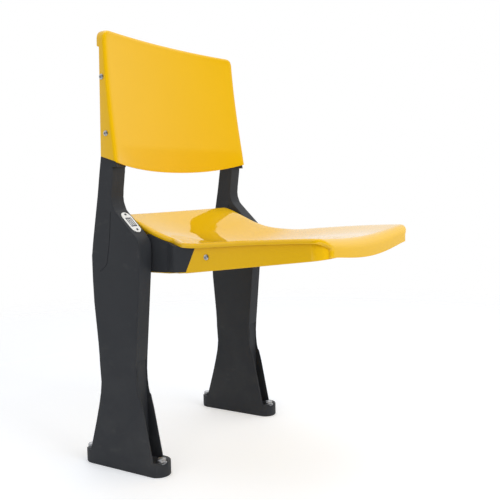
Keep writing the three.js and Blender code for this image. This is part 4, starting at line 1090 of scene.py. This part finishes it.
class SEAT_OT_screws(bpy.types.Operator):
    """Build the button-head screws of the backrest and the seat, and their nuts"""
    bl_idname = "seat.screws"
    bl_label = "Screws and nuts"

    def execute(self, context):
        low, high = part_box("back_screw_upper_left")
        length = high.x - low.x - SCREW_HEAD
        pattern = button_screw("button_screw", SCREW_HEAD_RADIUS, SCREW_HEAD, SOCKET_WIDTH,
                               SOCKET_DEPTH, SCREW_RADIUS, length)
        round_edges(pattern, SCREW_EDGE, segments=2, angle=50.0, smooth_angle=40.0)
        for kind in ("back_screw_upper", "back_screw_lower", "seat_screw"):
            for side, way in zip(SIDES, (-1, 1)):
                low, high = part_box(f"{kind}_{side}")
                place = (low + high) / 2
                place.x = low.x + SCREW_HEAD if way < 0 else high.x - SCREW_HEAD
                piece = put(pattern, f"{side}_{kind}", place, (way, 0, 0))
                stretch = (high.x - low.x - SCREW_HEAD) / length
                for point in piece.data.vertices:
                    if (point.co.x - place.x) * way < 0:
                        point.co.x = place.x + (point.co.x - place.x) * stretch
                dress(piece, f"{kind}_{side}", "zinc_steel")
        bpy.data.objects.remove(pattern)
        for kind in ("back_nut_upper", "back_nut_lower", "seat_nut"):
            mould_pair(kind, kind, "zinc_steel", sizes().metal_edge * SMALL_SHARE)
        return {"FINISHED"}


class SEAT_OT_plates(bpy.types.Operator):
    """Build the identification plate and the number plate with what is on and round them"""
    bl_idname = "seat.plates"
    bl_label = "Plates"

    def execute(self, context):
        mould("id_plate", "identification_plate", "plate_white", PLATE_EDGE)
        give(printed_panel(), "frame", "plate_dark")
        for place in ("upper", "lower"):
            mould(f"id_rivet_{place}", f"plate_rivet_{place}", "plate_dark", PLATE_HEAD_EDGE,
                  segments=3, smooth_angle=50.0)
        mould("number_plate", "seat_number_plate", "plate_dark", PLATE_HEAD_EDGE)
        give(seat_digits(), "tip_seat", "plate_white")
        mould_pair("plate_screw", "plate_screw", "plate_white", PLATE_HEAD_EDGE, segments=3,
                   smooth_angle=50.0)
        return {"FINISHED"}


class SEAT_OT_studio(bpy.types.Operator):
    """Build the pale floor, the soft lights, the white surroundings and the camera"""
    bl_idname = "seat.studio"
    bl_label = "Studio"

    def execute(self, context):
        studio()
        return {"FINISHED"}


# ---------------- studio

FLOOR_RADIUS, FLOOR_GLOW, FLOOR_FADE = 2.4, 0.30, (0.9, 2.2)
WORLD_STRENGTH = 0.62

# Where the glossy pieces mirror white: the way, the agreement with it at which the white starts
# and is full, and what is left outside
MIRRORED = (((0.45, 0.75, 0.45), -0.32, 0.42, 0.02), ((0.0, 0.0, -1.0), 0.05, 0.30, 0.0))

# Name, place, aim, size and power of each soft light, and whether glossy pieces mirror it
LIGHTS = (
    ("key_light", (-0.3, -2.7, 1.9), (0, 0, 0.5), 1.8, 40.0, False),
    ("fill_light", (-2.6, 0.2, 1.2), (0, 0, 0.4), 1.6, 6.0, False),
    ("top_light", (0.4, 0.2, 2.8), (0, 0, 0.4), 2.2, 14.0, True),
)

# The photograph's camera: azimuth, elevation and roll in degrees, place in metres, and focal
# length in pixels of a picture that is 500 pixels wide
CAMERA_TURNS, CAMERA_PLACE = (-58.36965, 5.27159, -1.29736), (-1.19497, -0.7370, 0.5305)
FOCAL_PIXELS, PHOTO_WIDTH, SENSOR_WIDTH = 717.311, 500.0, 36.0


def mix_shaders(tree, share, first, second):
    return add_node(tree, "ShaderNodeMixShader",
                    {0: share, 1: first.outputs[0], 2: second.outputs[0]})


def background(tree, strength):
    return add_node(tree, "ShaderNodeBackground", {"Color": WHITE, "Strength": strength})


def floor_material():
    """Pale paint that glows a little for the camera and fades out far from the seat."""
    made = bpy.data.materials.new("studio_floor")
    tree = empty_tree(made)
    paint = add_node(tree, "ShaderNodeBsdfPrincipled", {
        "Base Color": colours().floor, "Roughness": 0.7, "Specular IOR Level": 0.1})
    rays = add_node(tree, "ShaderNodeLightPath", {})
    lift = maths(tree, "MULTIPLY", rays.outputs["Is Camera Ray"], FLOOR_GLOW)
    glow = add_node(tree, "ShaderNodeEmission", {"Color": WHITE, "Strength": lift})
    both = add_node(tree, "ShaderNodeAddShader", {0: paint.outputs[0], 1: glow.outputs[0]})
    clear = add_node(tree, "ShaderNodeBsdfTransparent", {})
    far = add_node(tree, "ShaderNodeVectorMath", {0: place_in(tree)}, operation="LENGTH")
    mix = mix_shaders(tree, ramp(tree, far.outputs["Value"], *FLOOR_FADE), both, clear)
    add_node(tree, "ShaderNodeOutputMaterial", {"Surface": mix.outputs[0]})
    return made


def surroundings():
    """A plain soft light, white for the camera and through clear pieces. The glossy pieces
    mirror white behind, on the right, above and below, and dark before and on the left."""
    world = bpy.data.worlds.new("studio")
    bpy.context.scene.world = world
    tree = empty_tree(world)
    rays = add_node(tree, "ShaderNodeLightPath", {}).outputs
    seen = maths(tree, "MAXIMUM", rays["Is Camera Ray"], rays["Is Transmission Ray"])
    plain = mix_shaders(tree, seen, background(tree, WORLD_STRENGTH), background(tree, 1.0))
    way = place_in(tree, "Generated")
    whites = []
    for axis, low, high, least in MIRRORED:
        facing = add_node(tree, "ShaderNodeVectorMath", {0: way, 1: axis},
                          operation="DOT_PRODUCT")
        whites.append(ramp(tree, facing.outputs["Value"], low, high, least,
                           interpolation_type="SMOOTHSTEP"))
    mirrored = background(tree, maths(tree, "MAXIMUM", *whites))
    gloss = mix_shaders(tree, rays["Is Glossy Ray"], plain, mirrored)
    add_node(tree, "ShaderNodeOutputWorld", {"Surface": gloss.outputs[0]})


def soft_light(name, place, aim, size, power, mirrored):
    light = bpy.data.lights.new(name, "AREA")
    light.shape = "SQUARE"
    light.size = size
    light.energy = power
    lamp = add_object(name, light)
    lamp.location = place
    lamp.rotation_mode = "QUATERNION"
    lamp.rotation_quaternion = (Vector(aim) - Vector(place)).to_track_quat("-Z", "Y")
    lamp.visible_glossy = mirrored


def photo_camera():
    """The photograph's place and lens."""
    camera = bpy.data.cameras.new("photo_camera")
    camera.sensor_width = SENSOR_WIDTH
    camera.lens = FOCAL_PIXELS * SENSOR_WIDTH / PHOTO_WIDTH
    camera.clip_start, camera.clip_end = 0.01, 50.0
    holder = add_object("photo_camera", camera)
    azimuth, elevation, roll = (math.radians(value) for value in CAMERA_TURNS)
    holder.matrix_world = (
        Matrix.Translation(CAMERA_PLACE) @ Matrix.Rotation(azimuth, 4, "Z")
        @ Matrix.Rotation(math.pi / 2 - elevation, 4, "X") @ Matrix.Rotation(roll, 4, "Z"))
    bpy.context.scene.camera = holder


def studio():
    clear_selection()
    bpy.ops.mesh.primitive_circle_add(vertices=64, radius=FLOOR_RADIUS, fill_type="NGON",
                                      location=(0, 0, 0))
    floor = bpy.context.object
    floor.name = "studio_floor"
    floor.data.materials.append(floor_material())
    surroundings()
    for values in LIGHTS:
        soft_light(*values)
    photo_camera()
    bpy.context.scene.view_settings.view_transform = "Standard"


# ---------------- panel and registration

STEPS = (SEAT_OT_backrest, SEAT_OT_seat_top, SEAT_OT_seat_under, SEAT_OT_legs, SEAT_OT_arms,
         SEAT_OT_pivots, SEAT_OT_anchors, SEAT_OT_screws, SEAT_OT_plates, SEAT_OT_studio)


class SEAT_PT_panel(bpy.types.Panel):
    """Sizes, colours and building steps of the stadium seat"""
    bl_idname = "SEAT_PT_panel"
    bl_label = "Stadium seat"
    bl_space_type = "VIEW_3D"
    bl_region_type = "UI"
    bl_category = "Stadium seat"

    def draw(self, context):
        layout = self.layout
        for group in (context.scene.seat_sizes, context.scene.seat_colours):
            box = layout.box()
            for name in group.__annotations__:
                box.prop(group, name)
        for step in STEPS:
            layout.operator(step.bl_idname)


CLASSES = (SeatSizes, SeatColours, *STEPS, SEAT_PT_panel)


def register():
    for one in CLASSES:
        bpy.utils.register_class(one)
    bpy.types.Scene.seat_sizes = bpy.props.PointerProperty(type=SeatSizes)
    bpy.types.Scene.seat_colours = bpy.props.PointerProperty(type=SeatColours)


def unregister():
    del bpy.types.Scene.seat_colours
    del bpy.types.Scene.seat_sizes
    for one in reversed(CLASSES):
        bpy.utils.unregister_class(one)


def main():
    register()
    bpy.ops.seat.backrest()
    bpy.ops.seat.seat_top()
    bpy.ops.seat.seat_under()
    bpy.ops.seat.legs()
    bpy.ops.seat.arms()
    bpy.ops.seat.pivots()
    bpy.ops.seat.anchors()
    bpy.ops.seat.screws()
    bpy.ops.seat.plates()
    bpy.ops.seat.studio()


if __name__ == "__main__":
    main()
